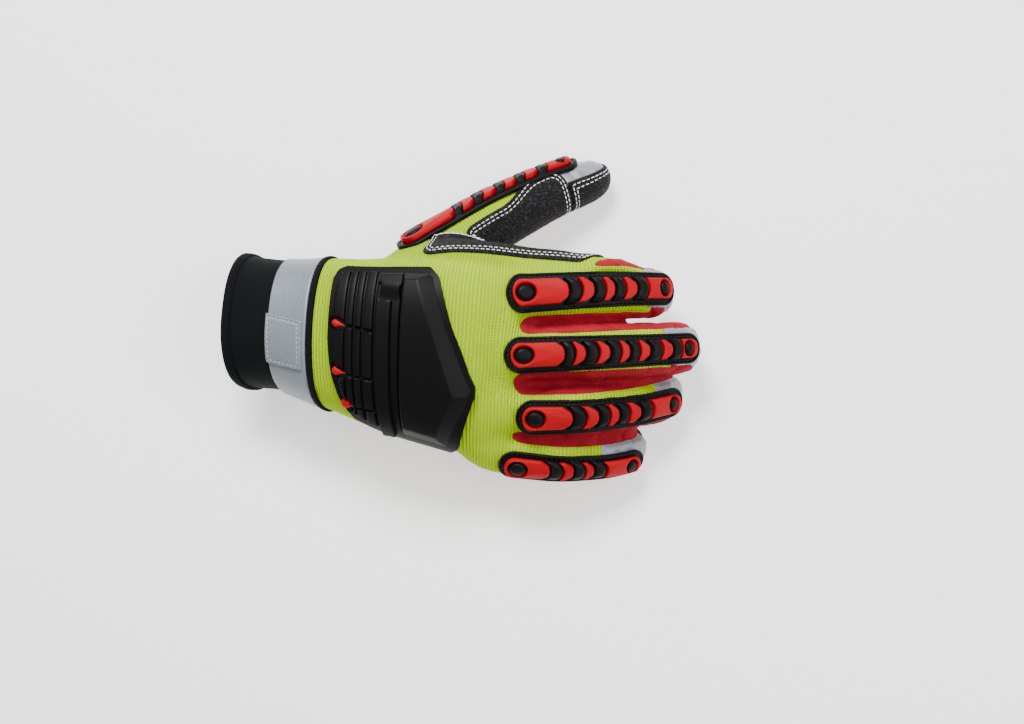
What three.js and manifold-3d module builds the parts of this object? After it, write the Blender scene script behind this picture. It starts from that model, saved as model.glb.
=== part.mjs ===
// A heavy-duty impact glove for a right hand, empty but holding the shape of a relaxed hand.
// It rests palm down on the hem of its cuff, the fingertips and the thumb.
// Millimetres. +X runs from the cuff to the fingertips, +Y towards the thumb, +Z is up, and z = 0 is the surface.
import * as THREE from "three";
import { mergeVertices } from "three/addons/utils/BufferGeometryUtils.js";
import Module from "manifold-3d";

const wasm = await Module();
wasm.setup();

// Driving sizes
const WALL = 2.4; // fabric, leather and their light padding, sewn together
const GAP = 0.35; // left between pieces that touch
const PATCH = 1.6; // height of a reinforcement patch above the skin of the glove
const CUFF_WALL = 3.2; // neoprene
const BAND = 1.3; // height of the reflective band above the cuff
const STRAP_TAB = 4.2; // thickness of the tab that the closure strap is pulled by
const HEM = 5; // width of the hem round the open end
const BINDING = 3.2; // width of the binding at the wrist
const FINGERTIP_PAD = 28; // length of the patches over the fingertips
const PAD_HALF = 11.8; // half their width
const PAD_REACH = 17; // how far below a finger's middle its patches can lie
const RIM_X = -159; // open end of the cuff
const WRIST_X = -106; // where the cuff is sewn to the hand
const BODY_SIDES = 16;
const FINGER_SIDES = 10;
const BODY_POWER = 2.35; // how square the ovals are: 2 is an ellipse
const FINGER_POWER = 2.25;
const ORIGIN = { x: -35.1, y: 37.75 }; // the middle of the glove's box, in the frame of the tables below

// Sections of the cuff, the wrist and the palm, from the open rim to the finger roots.
// x, y, z is the middle; half is half the width, rise and drop the heights above and below the middle;
// roll tips the back of the hand towards the little finger, in degrees.
const BODY = [
  { x: -159, y: 25.5, z: 31.0, half: 36.5, rise: 29, drop: 35.0, roll: 2 },
  { x: -138, y: 23.0, z: 35.5, half: 36.0, rise: 28, drop: 30.0, roll: 4 },
  { x: -120, y: 19.5, z: 39.5, half: 38.5, rise: 27, drop: 26.0, roll: 6 },
  { x: -104, y: 17.0, z: 42.5, half: 42.0, rise: 27, drop: 25.0, roll: 9 },
  { x: -85, y: 13.5, z: 45.5, half: 45.0, rise: 26, drop: 25.0, roll: 12 },
  { x: -60, y: 10.5, z: 48.5, half: 48.0, rise: 24, drop: 24.0, roll: 16 },
  { x: -32, y: 6.5, z: 49.5, half: 51.0, rise: 22, drop: 20.0, roll: 20 },
  { x: -12, y: 1.5, z: 47.5, half: 53.0, rise: 18, drop: 16.0, roll: 22 },
  { x: 4, y: -3.5, z: 44.5, half: 50.0, rise: 11, drop: 12.0, roll: 23 },
];

// Fingers. root is inside the palm; yaw turns towards the thumb, pitch dips, roll tips the back of the finger
// towards the little finger. Each joint bends at its distance from the root. Sizes are at the root, the
// middle joint and the tip.
const FINGERS = {
  index: {
    root: [-22, 35.5, 60.5], yaw: 8.8, pitch: 8, roll: 11, length: 109,
    joints: [{ at: 52, bend: 16 }, { at: 80, bend: 16 }],
    half: [15, 15.1, 14], rise: [16, 13, 10.5], drop: [14, 13, 10.5],
  },
  middle: {
    root: [-22, 5.5, 55], yaw: 7.2, pitch: 7.5, roll: 17, length: 125,
    joints: [{ at: 62, bend: 14 }, { at: 94, bend: 16 }],
    half: [15, 15.4, 14.2], rise: [16, 13, 10.5], drop: [14, 13, 10.5],
  },
  ring: {
    root: [-24, -21.5, 43.5], yaw: 5, pitch: 7, roll: 31, length: 122,
    joints: [{ at: 58, bend: 20 }, { at: 88, bend: 20 }],
    half: [13, 14.5, 13.3], rise: [15.5, 12.5, 10], drop: [13.5, 12.5, 10],
  },
  little: {
    root: [-27, -38, 32], yaw: -2.4, pitch: 6.5, roll: 42, length: 101,
    joints: [{ at: 50, bend: 18 }, { at: 74, bend: 18 }],
    half: [11.5, 12.5, 11.5], rise: [14, 11.5, 9.5], drop: [11.5, 11.5, 9.5],
  },
  thumb: {
    root: [-95, 28, 40], yaw: 45.8, pitch: 4.5, roll: -50, length: 166,
    joints: [{ at: 50, bend: 8 }, { at: 95, bend: 6 }, { at: 126, bend: 6 }],
    half: [20, 16, 12.5], rise: [16, 14, 10.5], drop: [22, 21, 10.5],
  },
};
const BEND_SPREAD = 22; // length over which a joint's bend is spread
const ROOT_SINK = 20; // length over which a finger comes up out of the palm
const TIP_ROUND = 15; // length of a fingertip's rounded end
const TIP_POWER = 2.3;

// The fold of skin between the thumb and the index finger
const WEB = [
  { x: -80, y: 40, z: 44, half: 17, rise: 18, drop: 20, roll: 5 },
  { x: -50, y: 51, z: 46, half: 18, rise: 19, drop: 20, roll: -5 },
  { x: -26, y: 54, z: 47, half: 16, rise: 18, drop: 18, roll: -5 },
  { x: 0, y: 55, z: 46, half: 13, rise: 15, drop: 14, roll: 0 },
  { x: 24, y: 56, z: 44, half: 11, rise: 12, drop: 10, roll: 4 },
  { x: 44, y: 54, z: 41, half: 7, rise: 7, drop: 6, roll: 6 },
];

// Rubber guards along the backs of the fingers. start and end are distances from the finger's root;
// the ribs cross the guard at even steps from the first one. half is half its width.
const GUARDS = {
  index: { start: 16, end: 104, first: 47, ribs: 4, step: 10.9, half: 9.8 },
  middle: { start: 17.5, end: 119, first: 47.5, ribs: 6, step: 10.5, half: 9.6 },
  ring: { start: 24, end: 114, first: 53.5, ribs: 4, step: 10.9, half: 9.4 },
  little: { start: 19, end: 94, first: 46, ribs: 3, step: 10.3, half: 8.8 },
  thumb: { start: 42, end: 151, first: 77.5, ribs: 5, step: 12.6, half: 9.4 },
};
// Heights in a guard, above the glove's skin: the plate's underside and top, the inlay and the ribs over it
const GUARD = { under: 0.6, plate: 2.4, pad: 4.8, rib: 6.3 };
const GUARD_BORDER = 2.4; // width of plate that shows round the inlay
const RIB_HALF = 2.9; // half the length of a rib along the finger
const RIB_INSET = 0.5; // the ribs' ends, in from the plate's edge
// Round studs of the plate that come up through the inlay
const STUDS = [
  { from: "start", inset: 10.5, radius: 4.4 },
  { from: "end", inset: 7, radius: 3.2 },
];

// The moulded guard on the back of the hand: its edges across the hand, at distances along it
const PANEL = [
  { x: -96.5, low: 0, high: 27 },
  { x: -95, low: -19, high: 33 },
  { x: -91, low: -33, high: 36 },
  { x: -85, low: -41, high: 37 },
  { x: -68, low: -46.4, high: 39.5 },
  { x: -46, low: -48.8, high: 43.5 },
  { x: -40.5, low: -49.2, high: 39.5 },
  { x: -33.5, low: -49.4, high: 18 },
  { x: -28.5, low: -46, high: 6 },
  { x: -24, low: -28, high: -5.5 },
  { x: -20.5, low: -14.5, high: -11.5 },
];
const PANEL_UNDER = 0.9; // its underside and its flat edge, above the glove's skin
const PANEL_LIFT = 1.5; // how much further up the underside is towards the sides of the hand
const PANEL_BASE = 2.8;
const PANEL_BORDER = 2.6; // width of the flat edge
// Heights along its middle: four slats, a raised bar and a field with a sloping end
const RELIEF = [
  { x: -96.5, height: 2.8 },
  { x: -93.5, height: 4.4 },
  { x: -87.6, height: 4.6 },
  { x: -87.2, height: 3.2 },
  { x: -86.1, height: 3.2 },
  { x: -85.7, height: 4.6 },
  { x: -83, height: 4.6 },
  { x: -82.6, height: 3.2 },
  { x: -81.7, height: 3.2 },
  { x: -81.3, height: 4.6 },
  { x: -78.4, height: 4.6 },
  { x: -78, height: 3.2 },
  { x: -76.9, height: 3.2 },
  { x: -76.5, height: 4.6 },
  { x: -72.4, height: 4.6 },
  { x: -71.9, height: 3.2 },
  { x: -71, height: 3.2 },
  { x: -70.4, height: 5.6 },
  { x: -62.8, height: 5.6 },
  { x: -62.2, height: 4 },
  { x: -59, height: 4 },
  { x: -55.5, height: 6 },
  { x: -34, height: 5.6 },
  { x: -27, height: 3.4 },
  { x: -20.5, height: 2.8 },
];
const SLAT_GROOVES = [5.5, -18.5, -34]; // where grooves cross the slats, across the hand
const GROOVE_STOPS = [-94.5, -84, -71.5];
const GROOVE_HALF = 1.1;
const DROP = { x: -91, length: 7, half: 2, low: 1.6, high: 3.6 };

const radians = (degrees) => (degrees * Math.PI) / 180;
const vector = (x, y, z) => new THREE.Vector3(x, y, z);
const mix = (a, b, t) => a + (b - a) * t;
const clamp01 = (t) => Math.min(1, Math.max(0, t));
const smooth = (t) => clamp01(t) ** 2 * (3 - 2 * clamp01(t));

// A frame at a point: along the part, across it towards the thumb, and up out of its back.
function frameAt(at, along, roll) {
  const level = vector(0, 0, 1).addScaledVector(along, -along.z).normalize();
  const side = level.clone().cross(along);
  const up = level.multiplyScalar(Math.cos(roll)).addScaledVector(side, -Math.sin(roll));
  return { at, along, across: up.clone().cross(along), up };
}

// A point in a frame, by its distance across and its height.
const place = (frame, across, height) =>
  frame.at.clone().addScaledVector(frame.across, across).addScaledVector(frame.up, height);

// A point at a height above the back of an oval, by where it stands across the oval.
function overOval(oval, across, height) {
  const share = Math.min(1, Math.max(-1, across / oval.half));
  const up = (1 - Math.abs(share) ** oval.power) ** (1 / oval.power);
  return [(oval.half + height) * share, (oval.rise + height) * up];
}

// A ring of points round an oval that is larger all round by grow. Cloth is flattened where it would pass
// through the surface that the glove rests on.
function ovalRing(frame, oval, grow, sides) {
  const ring = [];
  for (let i = 0; i < sides; i++) {
    const angle = (2 * Math.PI * (i + 0.5)) / sides;
    const c = Math.cos(angle);
    const s = Math.sin(angle);
    const height = (s > 0 ? oval.rise : oval.drop) + grow;
    const point = place(
      frame,
      (oval.half + grow) * Math.sign(c) * Math.abs(c) ** (2 / oval.power),
      height * Math.sign(s) * Math.abs(s) ** (2 / oval.power),
    );
    point.z = Math.max(point.z, PATCH - grow);
    ring.push(point);
  }
  return ring;
}

// A solid from the closed skin of a geometry.
function solidOf(geometry) {
  geometry.deleteAttribute("normal");
  geometry.deleteAttribute("uv");
  const merged = mergeVertices(geometry, 1e-4);
  return new wasm.Manifold(
    new wasm.Mesh({
      numProp: 3,
      vertProperties: merged.getAttribute("position").array,
      triVerts: new Uint32Array(merged.index.array),
    }),
  );
}

// A skin over rings of points that all turn the same way, its ends closed by fans
function loft(rings) {
  const count = rings[0].length;
  const points = rings.flat();
  const faces = [];
  for (let r = 0; r < rings.length - 1; r++)
    for (let i = 0; i < count; i++) {
      const next = (r + 1) * count;
      const j = (i + 1) % count;
      faces.push(r * count + i, r * count + j, next + j);
      faces.push(r * count + i, next + j, next + i);
    }
  for (const [ring, start, turned] of [
    [rings[0], 0, true],
    [rings.at(-1), points.length - count, false],
  ]) {
    const middle = points.length;
    const sum = ring.reduce((total, point) => total.add(point), vector(0, 0, 0));
    points.push(sum.divideScalar(count));
    for (let i = 0; i < count; i++) {
      const [a, b] = [start + i, start + ((i + 1) % count)];
      faces.push(middle, ...(turned ? [b, a] : [a, b]));
    }
  }
  const geometry = new THREE.BufferGeometry().setFromPoints(points);
  geometry.setIndex(faces);
  return solidOf(geometry);
}

// Tables of sections

// A row of a table of sections at any x, the columns blended along smooth curves.
function rowAt(table, x) {
  const last = table.length - 1;
  const i = Math.min(last - 1, Math.max(0, table.findIndex((row) => row.x > x) - 1));
  const at = x >= table[last].x ? last - 1 : i;
  const [before, from, to, after] = [at - 1, at, at + 1, at + 2].map(
    (k) => table[Math.min(last, Math.max(0, k))],
  );
  const t = (x - from.x) / (to.x - from.x);
  const row = { x };
  for (const key of Object.keys(from).filter((name) => name !== "x")) {
    const span = to.x - from.x;
    const slopeIn = at === 0 ? (to[key] - from[key]) / span : (to[key] - before[key]) / (to.x - before.x);
    const slopeOut =
      at === last - 1 ? (to[key] - from[key]) / span : (after[key] - from[key]) / (after.x - from.x);
    const [t2, t3] = [t * t, t * t * t];
    row[key] =
      from[key] * (2 * t3 - 3 * t2 + 1) +
      to[key] * (3 * t2 - 2 * t3) +
      span * (slopeIn * (t3 - 2 * t2 + t) + slopeOut * (t3 - t2));
  }
  return row;
}

function tableSection(table, x) {
  const row = rowAt(table, x);
  const [back, ahead] = [rowAt(table, x - 1), rowAt(table, x + 1)];
  const along = vector(2, 0, ahead.z - back.z).normalize();
  return {
    frame: frameAt(vector(x, row.y, row.z), along, radians(row.roll)),
    oval: { half: row.half, rise: row.rise, drop: row.drop, power: BODY_POWER },
  };
}

const tableRing = (table, x, grow, sides) => {
  const { frame, oval } = tableSection(table, x);
  return ovalRing(frame, oval, grow, sides);
};

// Fingers

const bendAt = (finger, s) =>
  finger.joints.reduce(
    (total, joint) => total + radians(joint.bend) * smooth((s - joint.at) / BEND_SPREAD + 0.5),
    0,
  );

// The frame at a distance from a finger's root, found by walking out along it.
function fingerFrame(finger, distance) {
  const [yaw, pitch] = [radians(finger.yaw), radians(finger.pitch)];
  const start = vector(Math.cos(yaw) * Math.cos(pitch), Math.sin(yaw) * Math.cos(pitch), -Math.sin(pitch));
  const root = frameAt(vector(...finger.root), start, radians(finger.roll));
  const turned = (s) => {
    const bend = bendAt(finger, s);
    return {
      along: root.along.clone().applyAxisAngle(root.across, bend),
      up: root.up.clone().applyAxisAngle(root.across, bend),
    };
  };
  const steps = Math.max(1, Math.ceil(distance / 2));
  const step = distance / steps;
  const at = root.at.clone();
  for (let i = 0; i < steps; i++) at.addScaledVector(turned((i + 0.5) * step).along, step);
  return { at, across: root.across, ...turned(distance) };
}

// A finger's oval at a distance from its root, with the rounded tip.
function fingerOval(finger, s) {
  const middle = finger.joints[0].at;
  const size = ([root, joint, tip]) =>
    s < middle ? mix(root, joint, s / middle) : mix(joint, tip, (s - middle) / (finger.length - middle));
  const into = clamp01((s - (finger.length - TIP_ROUND)) / TIP_ROUND);
  const round = Math.max(0.02, (1 - into ** TIP_POWER) ** (1 / TIP_POWER));
  const sunk = mix(0.7, 1, smooth(s / ROOT_SINK));
  return {
    half: size(finger.half) * round * mix(sunk, 1, 0.5),
    rise: size(finger.rise) * round * sunk,
    drop: size(finger.drop) * round,
    power: FINGER_POWER,
  };
}

const TIP_STEPS = [0, 0.62, 0.94];
const SHAFT_STEPS = [0, 0.24, 0.54, 0.8];

// Where a finger's sections lie along it
function fingerStops(finger) {
  const straight = finger.length - TIP_ROUND;
  return [
    ...SHAFT_STEPS.map((share) => share * straight),
    ...TIP_STEPS.map((share) => straight + share * TIP_ROUND),
  ];
}

function fingerTube(finger, grow) {
  const straight = finger.length - TIP_ROUND;
  return loft(
    fingerStops(finger).map((s) => {
      const frame = fingerFrame(finger, s);
      const into = clamp01((s - straight) / TIP_ROUND);
      frame.at.addScaledVector(frame.along, grow * into);
      return ovalRing(frame, fingerOval(finger, s), grow, FINGER_SIDES);
    }),
  );
}

const KNUCKLE_X = 4; // where the palm ends between the fingers
const WEB_END = 44;
const HAND_STOPS = [WRIST_X - 8, -92, -74, -54, -34, -16, -5];
const WEB_STOPS = [-78, -54, -30, -6, 18];

const palmBody = (grow) =>
  loft([...HAND_STOPS, KNUCKLE_X + grow].map((x) => tableRing(BODY, x, grow, BODY_SIDES)));

// Everything on the cuff's side of a section
function cuffSide(x) {
  const between = CUFF_STOPS.slice(1).filter((stop) => stop < x - 1);
  return zone(bodyFrame, [RIM_X - 8, ...between, x], [-80, 80], [-80, 80]);
}

// The whole outside of the hand of the glove, larger all round by grow
const skins = new Map();
function skin(grow) {
  if (!skins.has(grow)) {
    const web = loft([...WEB_STOPS, WEB_END + grow].map((x) => tableRing(WEB, x, grow, FINGER_SIDES)));
    const tubes = Object.values(FINGERS).map((finger) => fingerTube(finger, grow));
    skins.set(grow, union([palmBody(grow), web, ...tubes]));
  }
  return skins.get(grow);
}

// A layer of the hand between two distances out from its skin
const layer = (low, high) => skin(high).subtract(skin(low)).subtract(cuffSide(WRIST_X));

// A layer of the cuff between two distances out from its skin, over a stretch of its length
const CUFF_STOPS = [RIM_X, -152, -136, -120, WRIST_X + 6];
const cuffBody = (grow, stops) => loft(stops.map((x) => tableRing(BODY, x, grow, BODY_SIDES)));
const cuffLayer = (low, high, from, to) =>
  cuffBody(high, CUFF_STOPS)
    .subtract(cuffBody(low, [RIM_X - 3, ...CUFF_STOPS]))
    .intersect(cuffSide(to).subtract(cuffSide(from)));

// Cutters and raised strips

// A solid swept through frames, its outline given at each stop as points across and up
const sweep = (frameOf, stops, outlineOf) =>
  loft(stops.map((stop) => outlineOf(stop).map(([across, height]) => place(frameOf(stop), across, height))));

const range = (from, to, steps) => Array.from({ length: steps + 1 }, (_, i) => mix(from, to, i / steps));

const bodyFrame = (x) => tableSection(BODY, x).frame;
const webFrame = (x) => tableSection(WEB, x).frame;

// A box that follows a path: across and up are its low and high edges.
const zone = (frameOf, stops, [left, right], [low, high]) =>
  sweep(frameOf, stops, () => [
    [left, low],
    [right, low],
    [right, high],
    [left, high],
  ]);
// The same round a stretch of a finger, with stops where the finger has its own
function fingerZone(name, from, to, across, up) {
  const between = fingerStops(FINGERS[name]).filter((s) => s > from + 1 && s < to - 1);
  return zone((s) => fingerFrame(FINGERS[name], s), [from, ...between, to], across, up);
}

// A strip that lies on an oval's back, from a low to a high distance above it. edges gives where it lies across.
function strip(sectionOf, stops, edgesOf, low, high, columnCount = 3) {
  return sweep(
    (stop) => sectionOf(stop).frame,
    stops,
    (stop) => {
      const [left, right] = edgesOf(stop);
      const columns = range(left, right, columnCount - 1);
      const { oval } = sectionOf(stop);
      return [
        ...columns.map((across) => overOval(oval, across, low)),
        ...columns.reverse().map((across) => overOval(oval, across, high)),
      ];
    },
  );
}

const fingerSection = (name) => (s) => ({
  frame: fingerFrame(FINGERS[name], s),
  oval: fingerOval(FINGERS[name], s),
});
const bodySection = (x) => tableSection(BODY, x);

const union = (solids) => solids.reduce((sum, solid) => sum.add(solid));
const largest = (solid) => solid.decompose().sort((a, b) => b.volume() - a.volume())[0];

// Finger guards: a plate with round ends and studs, an inlay on it, and ribs that bridge the inlay
function fingerGuard(name) {
  const guard = GUARDS[name];
  const section = fingerSection(name);
  const ribs = range(guard.first, guard.first + (guard.ribs - 1) * guard.step, guard.ribs - 1);
  const narrowing = (s) => 1 - 0.16 * smooth((s - guard.start) / (guard.end - guard.start));
  // Half the width at a distance along the finger, of a shape set in from the plate's edge
  const halfAt = (s, inset) => {
    const half = guard.half * narrowing(s) - inset;
    const toEnd = Math.min(s - guard.start, guard.end - s) - inset;
    return half * Math.sqrt(Math.max(0.02, 1 - (1 - clamp01(toEnd / half)) ** 2));
  };
  // Stops along a shape set in from the plate's edge, closer together at its round ends
  const stopsOf = (inset, steps) => {
    const round = guard.half - inset;
    const [first, last] = [guard.start + inset, guard.end - inset];
    const nearEnd = 0.3 * round;
    return [first, first + nearEnd, ...range(first + round, last - round, steps), last - nearEnd, last];
  };
  const edges = (inset) => (s) => [-halfAt(s, inset), halfAt(s, inset)];
  const studs = (clearance) =>
    union(
      STUDS.map(({ from, inset, radius }) => {
        const s = from === "start" ? guard.start + inset : guard.end - inset;
        const { frame, oval } = section(s);
        const height = GUARD.rib - GUARD.under - 0.6;
        const stud = new THREE.CylinderGeometry(0.75 * radius + clearance, radius + clearance, height, 8);
        stud.translate(0, height / 2 + GUARD.under + 0.6, 0);
        const turn = new THREE.Matrix4().makeBasis(frame.across, frame.up, frame.along);
        turn.setPosition(place(frame, 0, oval.rise));
        return solidOf(stud.applyMatrix4(turn));
      }),
    );

  const inlayStops = stopsOf(GUARD_BORDER + GAP, 6);
  const inlay = strip(section, inlayStops, edges(GUARD_BORDER + GAP), GUARD.plate + GAP, GUARD.pad);
  const arches = ribs.map((rib) =>
    strip(section, [rib - RIB_HALF, rib + RIB_HALF], edges(RIB_INSET), GUARD.under + 0.5, GUARD.rib),
  );
  const channel = strip(section, inlayStops, edges(GUARD_BORDER), GUARD.plate, GUARD.pad + GAP);
  const plate = strip(section, stopsOf(0, 6), edges(0), GUARD.under, GUARD.plate);
  return {
    rubber: union(arches).subtract(channel).add(plate).add(studs(0)).subtract(palmBody(GAP)),
    inlay: inlay.subtract(studs(GAP)),
  };
}

// The moulded guard on the back of the hand

// Its edges at a distance along the hand, drawn in from the outline by inset
function panelEdges(x, inset = 0) {
  const next = Math.max(1, PANEL.findIndex((row) => row.x >= x));
  const [from, to] = [PANEL[next - 1], PANEL[next]];
  const t = clamp01((x - from.x) / (to.x - from.x));
  return [mix(from.low, to.low, t) + inset, mix(from.high, to.high, t) - inset];
}

// The height of its raised middle at a distance along the hand
function reliefAt(x) {
  const next = Math.max(1, RELIEF.findIndex((row) => row.x >= x));
  const [from, to] = [RELIEF[next - 1], RELIEF[next]];
  return mix(from.height, to.height, clamp01((x - from.x) / (to.x - from.x)));
}

function backGuard() {
  const stops = [...PANEL, ...RELIEF].map((row) => row.x).sort((a, b) => a - b);
  const apart = stops.filter((x, i) => i === 0 || x - stops[i - 1] > 0.2);
  const body = sweep(bodyFrame, apart, (x) => {
    const { oval } = bodySection(x);
    const [left, right] = panelEdges(x);
    const border = Math.min(PANEL_BORDER, (right - left) / 5);
    const inner = range(left + border, right - border, 4);
    const top = [
      [left, PANEL_BASE],
      ...inner.map((across) => [across, Math.max(PANEL_BASE, reliefAt(x))]),
      [right, PANEL_BASE],
    ];
    const under = (across) => PANEL_UNDER + PANEL_LIFT * (across / oval.half) ** 2;
    return [
      ...top.map(([across]) => overOval(oval, across, under(across))),
      ...top.reverse().map(([across, height]) => overOval(oval, across, height)),
    ];
  });
  const grooves = SLAT_GROOVES.map((across) =>
    strip(bodySection, GROOVE_STOPS, () => [across - GROOVE_HALF, across + GROOVE_HALF], PANEL_BASE, 8),
  );
  return body.subtract(union(grooves));
}

// A drop-shaped inlay at the wrist end of each groove between the slats, pointing towards the wrist
const drop = (across, spare) => {
  const stops = [DROP.x - DROP.length / 2 - spare, DROP.x, DROP.x + DROP.length / 2 + spare];
  const half = [0.4 + spare, DROP.half + spare, 0.9 + spare];
  const edges = (x) => [across - half[stops.indexOf(x)], across + half[stops.indexOf(x)]];
  return strip(bodySection, stops, edges, DROP.low - spare, DROP.high + 4 * spare);
};

// Pieces

const MATERIALS = {
  knit: { color: 0xc9e03a, roughness: 0.85, metalness: 0 },
  suede: { color: 0xa81c22, roughness: 0.95, metalness: 0 },
  sidewall: { color: 0xb8202c, roughness: 0.7, metalness: 0 },
  grip: { color: 0x1b1b1c, roughness: 0.95, metalness: 0 },
  reflective: { color: 0x9aa0a6, roughness: 0.45, metalness: 0.2 },
  neoprene: { color: 0x1c1d1f, roughness: 0.85, metalness: 0 },
  rubber: { color: 0x151617, roughness: 0.55, metalness: 0 },
  red_rubber: { color: 0xd21f26, roughness: 0.5, metalness: 0 },
};

const glove = new THREE.Group();

function piece(name, solid, material) {
  const made = largest(solid).getMesh();
  const geometry = new THREE.BufferGeometry();
  geometry.setAttribute("position", new THREE.BufferAttribute(Float32Array.from(made.vertProperties), 3));
  geometry.setIndex(new THREE.BufferAttribute(made.triVerts, 1));
  geometry.translate(-ORIGIN.x, -ORIGIN.y, 0);
  geometry.computeVertexNormals();
  const mesh = new THREE.Mesh(geometry, new THREE.MeshStandardMaterial(MATERIALS[material]));
  mesh.name = name;
  glove.add(mesh);
}

// Where each piece of the hand lies. spare widens a zone, so that what it is cut out of stays clear.
// The edges of the knit strip along each finger's back, across the finger
const BACK_STRIPS = { index: [-12.4, 13.6], middle: [-10.6, 12.2], ring: [-10.2, 12.8], little: [-11.5, 12.4] };
const REFLECTIVE = { index: 22, middle: 26, ring: 24, little: 24, thumb: 36 }; // length of the tips
const LONG_FINGERS = ["index", "middle", "ring", "little"];
const stripStart = (name) => FINGERS[name].length - REFLECTIVE[name];

const stripZone = (name, from, to, spare) => {
  const [low, high] = BACK_STRIPS[name];
  return fingerZone(name, from - spare, to + spare, [low - spare, high + spare], [-spare, 22]);
};
const thumbZone = (from, to, low, spare) =>
  fingerZone("thumb", from - spare, to + spare, [-28, 10 + spare], [low - spare, 28]);
const tipZones = (spare) => ({
  ...Object.fromEntries(
    LONG_FINGERS.map((name) => [name, stripZone(name, stripStart(name), FINGERS[name].length + 5, spare)]),
  ),
  thumb: thumbZone(stripStart("thumb"), FINGERS.thumb.length + 5, 2, spare),
});
const HAND_END = -2; // where the knit of the hand ends between the fingers
const backZone = (spare) =>
  union([
    zone(bodyFrame, [...HAND_STOPS, HAND_END + spare], [-90, 90], [-3 - spare, 70]),
    zone(webFrame, [...WEB_STOPS, WEB_END + 2], [-6 - spare, 30], [1 - spare, 30]),
    ...LONG_FINGERS.map((name) => stripZone(name, 5, stripStart(name), spare)),
    thumbZone(0, stripStart("thumb"), -7, spare),
  ]);
// The sides of the fingers: between two neighbours, and the two outer sides
const SIDES = [
  { name: "index_sidewall", thumbwards: "index" },
  { name: "index_middle_sidewall", thumbwards: "middle", outwards: "index" },
  { name: "middle_ring_sidewall", thumbwards: "ring", outwards: "middle" },
  { name: "ring_little_sidewall", thumbwards: "little", outwards: "ring" },
  { name: "little_sidewall", outwards: "little" },
];
const SIDE_START = 13;
const sideZone = ({ thumbwards, outwards }, spare) => {
  const along = (name, across) =>
    fingerZone(name, SIDE_START - spare, FINGERS[name].length + 5, across, [-8 - spare, 30]);
  return union([
    ...(thumbwards ? [along(thumbwards, [6, 17.5])] : []),
    ...(outwards ? [along(outwards, [-17.5, -6])] : []),
  ]);
};

// Where the back and the front of each finger begin, as distances from its root, and how far its front reaches
const BACK_START = { index: 28, middle: 28, ring: 32, little: 28, thumb: 62 };
const FRONT = {
  index: { start: 26, sides: [-19, 19], heights: [-17.5, 8] },
  middle: { start: 26, sides: [-15.2, 19], heights: [-17.5, 8] },
  ring: { start: 26, sides: [-13.6, 19], heights: [-17.5, 8] },
  little: { start: 26, sides: [-19, 19], heights: [-17.5, 8] },
  thumb: { start: 70, sides: [-19, 24], heights: [-26, 28] },
};
const backPart = (name, spare) =>
  name === "thumb"
    ? thumbZone(BACK_START.thumb, stripStart("thumb"), -7, spare)
    : stripZone(name, BACK_START[name], stripStart(name), spare);
const frontPart = (name, spare) => {
  const { start, sides, heights } = FRONT[name];
  const wider = ([low, high]) => [low - spare, high + spare];
  return fingerZone(name, start - spare, FINGERS[name].length + 5, wider(sides), wider(heights));
};

const wall = layer(-WALL, 0);
const allTips = (spare) => union(Object.values(tipZones(spare)));
let back = wall.intersect(backZone(0)).subtract(allTips(GAP));
let inside = wall.subtract(backZone(GAP)).subtract(allTips(GAP));
for (const side of SIDES) piece(side.name, inside.intersect(sideZone(side, 0)), "sidewall");
inside = inside.subtract(union(SIDES.map((side) => sideZone(side, GAP))));
for (const name of Object.keys(FINGERS)) {
  piece(`${name}_back`, back.intersect(backPart(name, 0)), "knit");
  piece(`${name}_front`, inside.intersect(frontPart(name, 0)), "suede");
  back = back.subtract(backPart(name, GAP));
  inside = inside.subtract(frontPart(name, GAP));
}
piece("hand_back", back, "knit");
piece("palm", inside, "suede");
for (const [name, tip] of Object.entries(tipZones(0)))
  piece(`${name}_reflective_tip`, wall.intersect(tip), "reflective");

// Guards
for (const name of Object.keys(GUARDS)) {
  const { rubber, inlay } = fingerGuard(name);
  piece(`${name}_guard`, rubber, "rubber");
  piece(`${name}_guard_inlay`, inlay, "red_rubber");
}
const drops = (spare) => SLAT_GROOVES.map((across) => drop(across, spare));
piece("back_guard", backGuard().subtract(union(drops(GAP))), "rubber");
drops(0).forEach((solid, i) => piece(`back_guard_inlay_${i + 1}`, solid, "red_rubber"));

// Reinforcement patches on the thumb, the fingers and the palm
const grip = layer(GAP, PATCH);
const saddleZone = (spare) =>
  zone(
    webFrame,
    [-62 - spare, ...WEB_STOPS.slice(1), WEB_END + spare],
    [5 - spare, 22 + spare],
    [-26 - spare, 24],
  );
const padZone = (name, half = PAD_HALF, top = -2) => {
  const { length } = FINGERS[name];
  return fingerZone(name, length - FINGERTIP_PAD, length + 5, [-half, half], [-PAD_REACH, top]);
};
piece("thumb_saddle_patch", grip.intersect(saddleZone(0)), "grip");
const flank = fingerZone("thumb", 77, 138, [-24, -1], [-24, 8])
  .subtract(saddleZone(GAP))
  .subtract(palmBody(PATCH + GAP));
piece("thumb_flank_patch", grip.intersect(flank), "grip");
const pads = { index: 0, middle: 0, ring: 2.2, little: 0 }; // how much narrower each pad is on each side
for (const name of LONG_FINGERS)
  piece(`${name}_fingertip_patch`, grip.intersect(padZone(name, PAD_HALF - pads[name])), "grip");
piece("thumb_fingertip_patch", grip.intersect(padZone("thumb", PAD_REACH, 1)), "grip");
for (const name of ["index", "middle"]) {
  const patch = fingerZone(name, 32, 62, [-PAD_HALF, PAD_HALF], [-PAD_REACH, -5]);
  piece(`${name}_patch`, grip.intersect(patch), "grip");
}
const heel = zone(bodyFrame, [-98, ...HAND_STOPS.slice(1, 4), -50], [-36, 14], [-60, -10]);
piece("palm_heel_patch", grip.intersect(heel), "grip");

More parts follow.
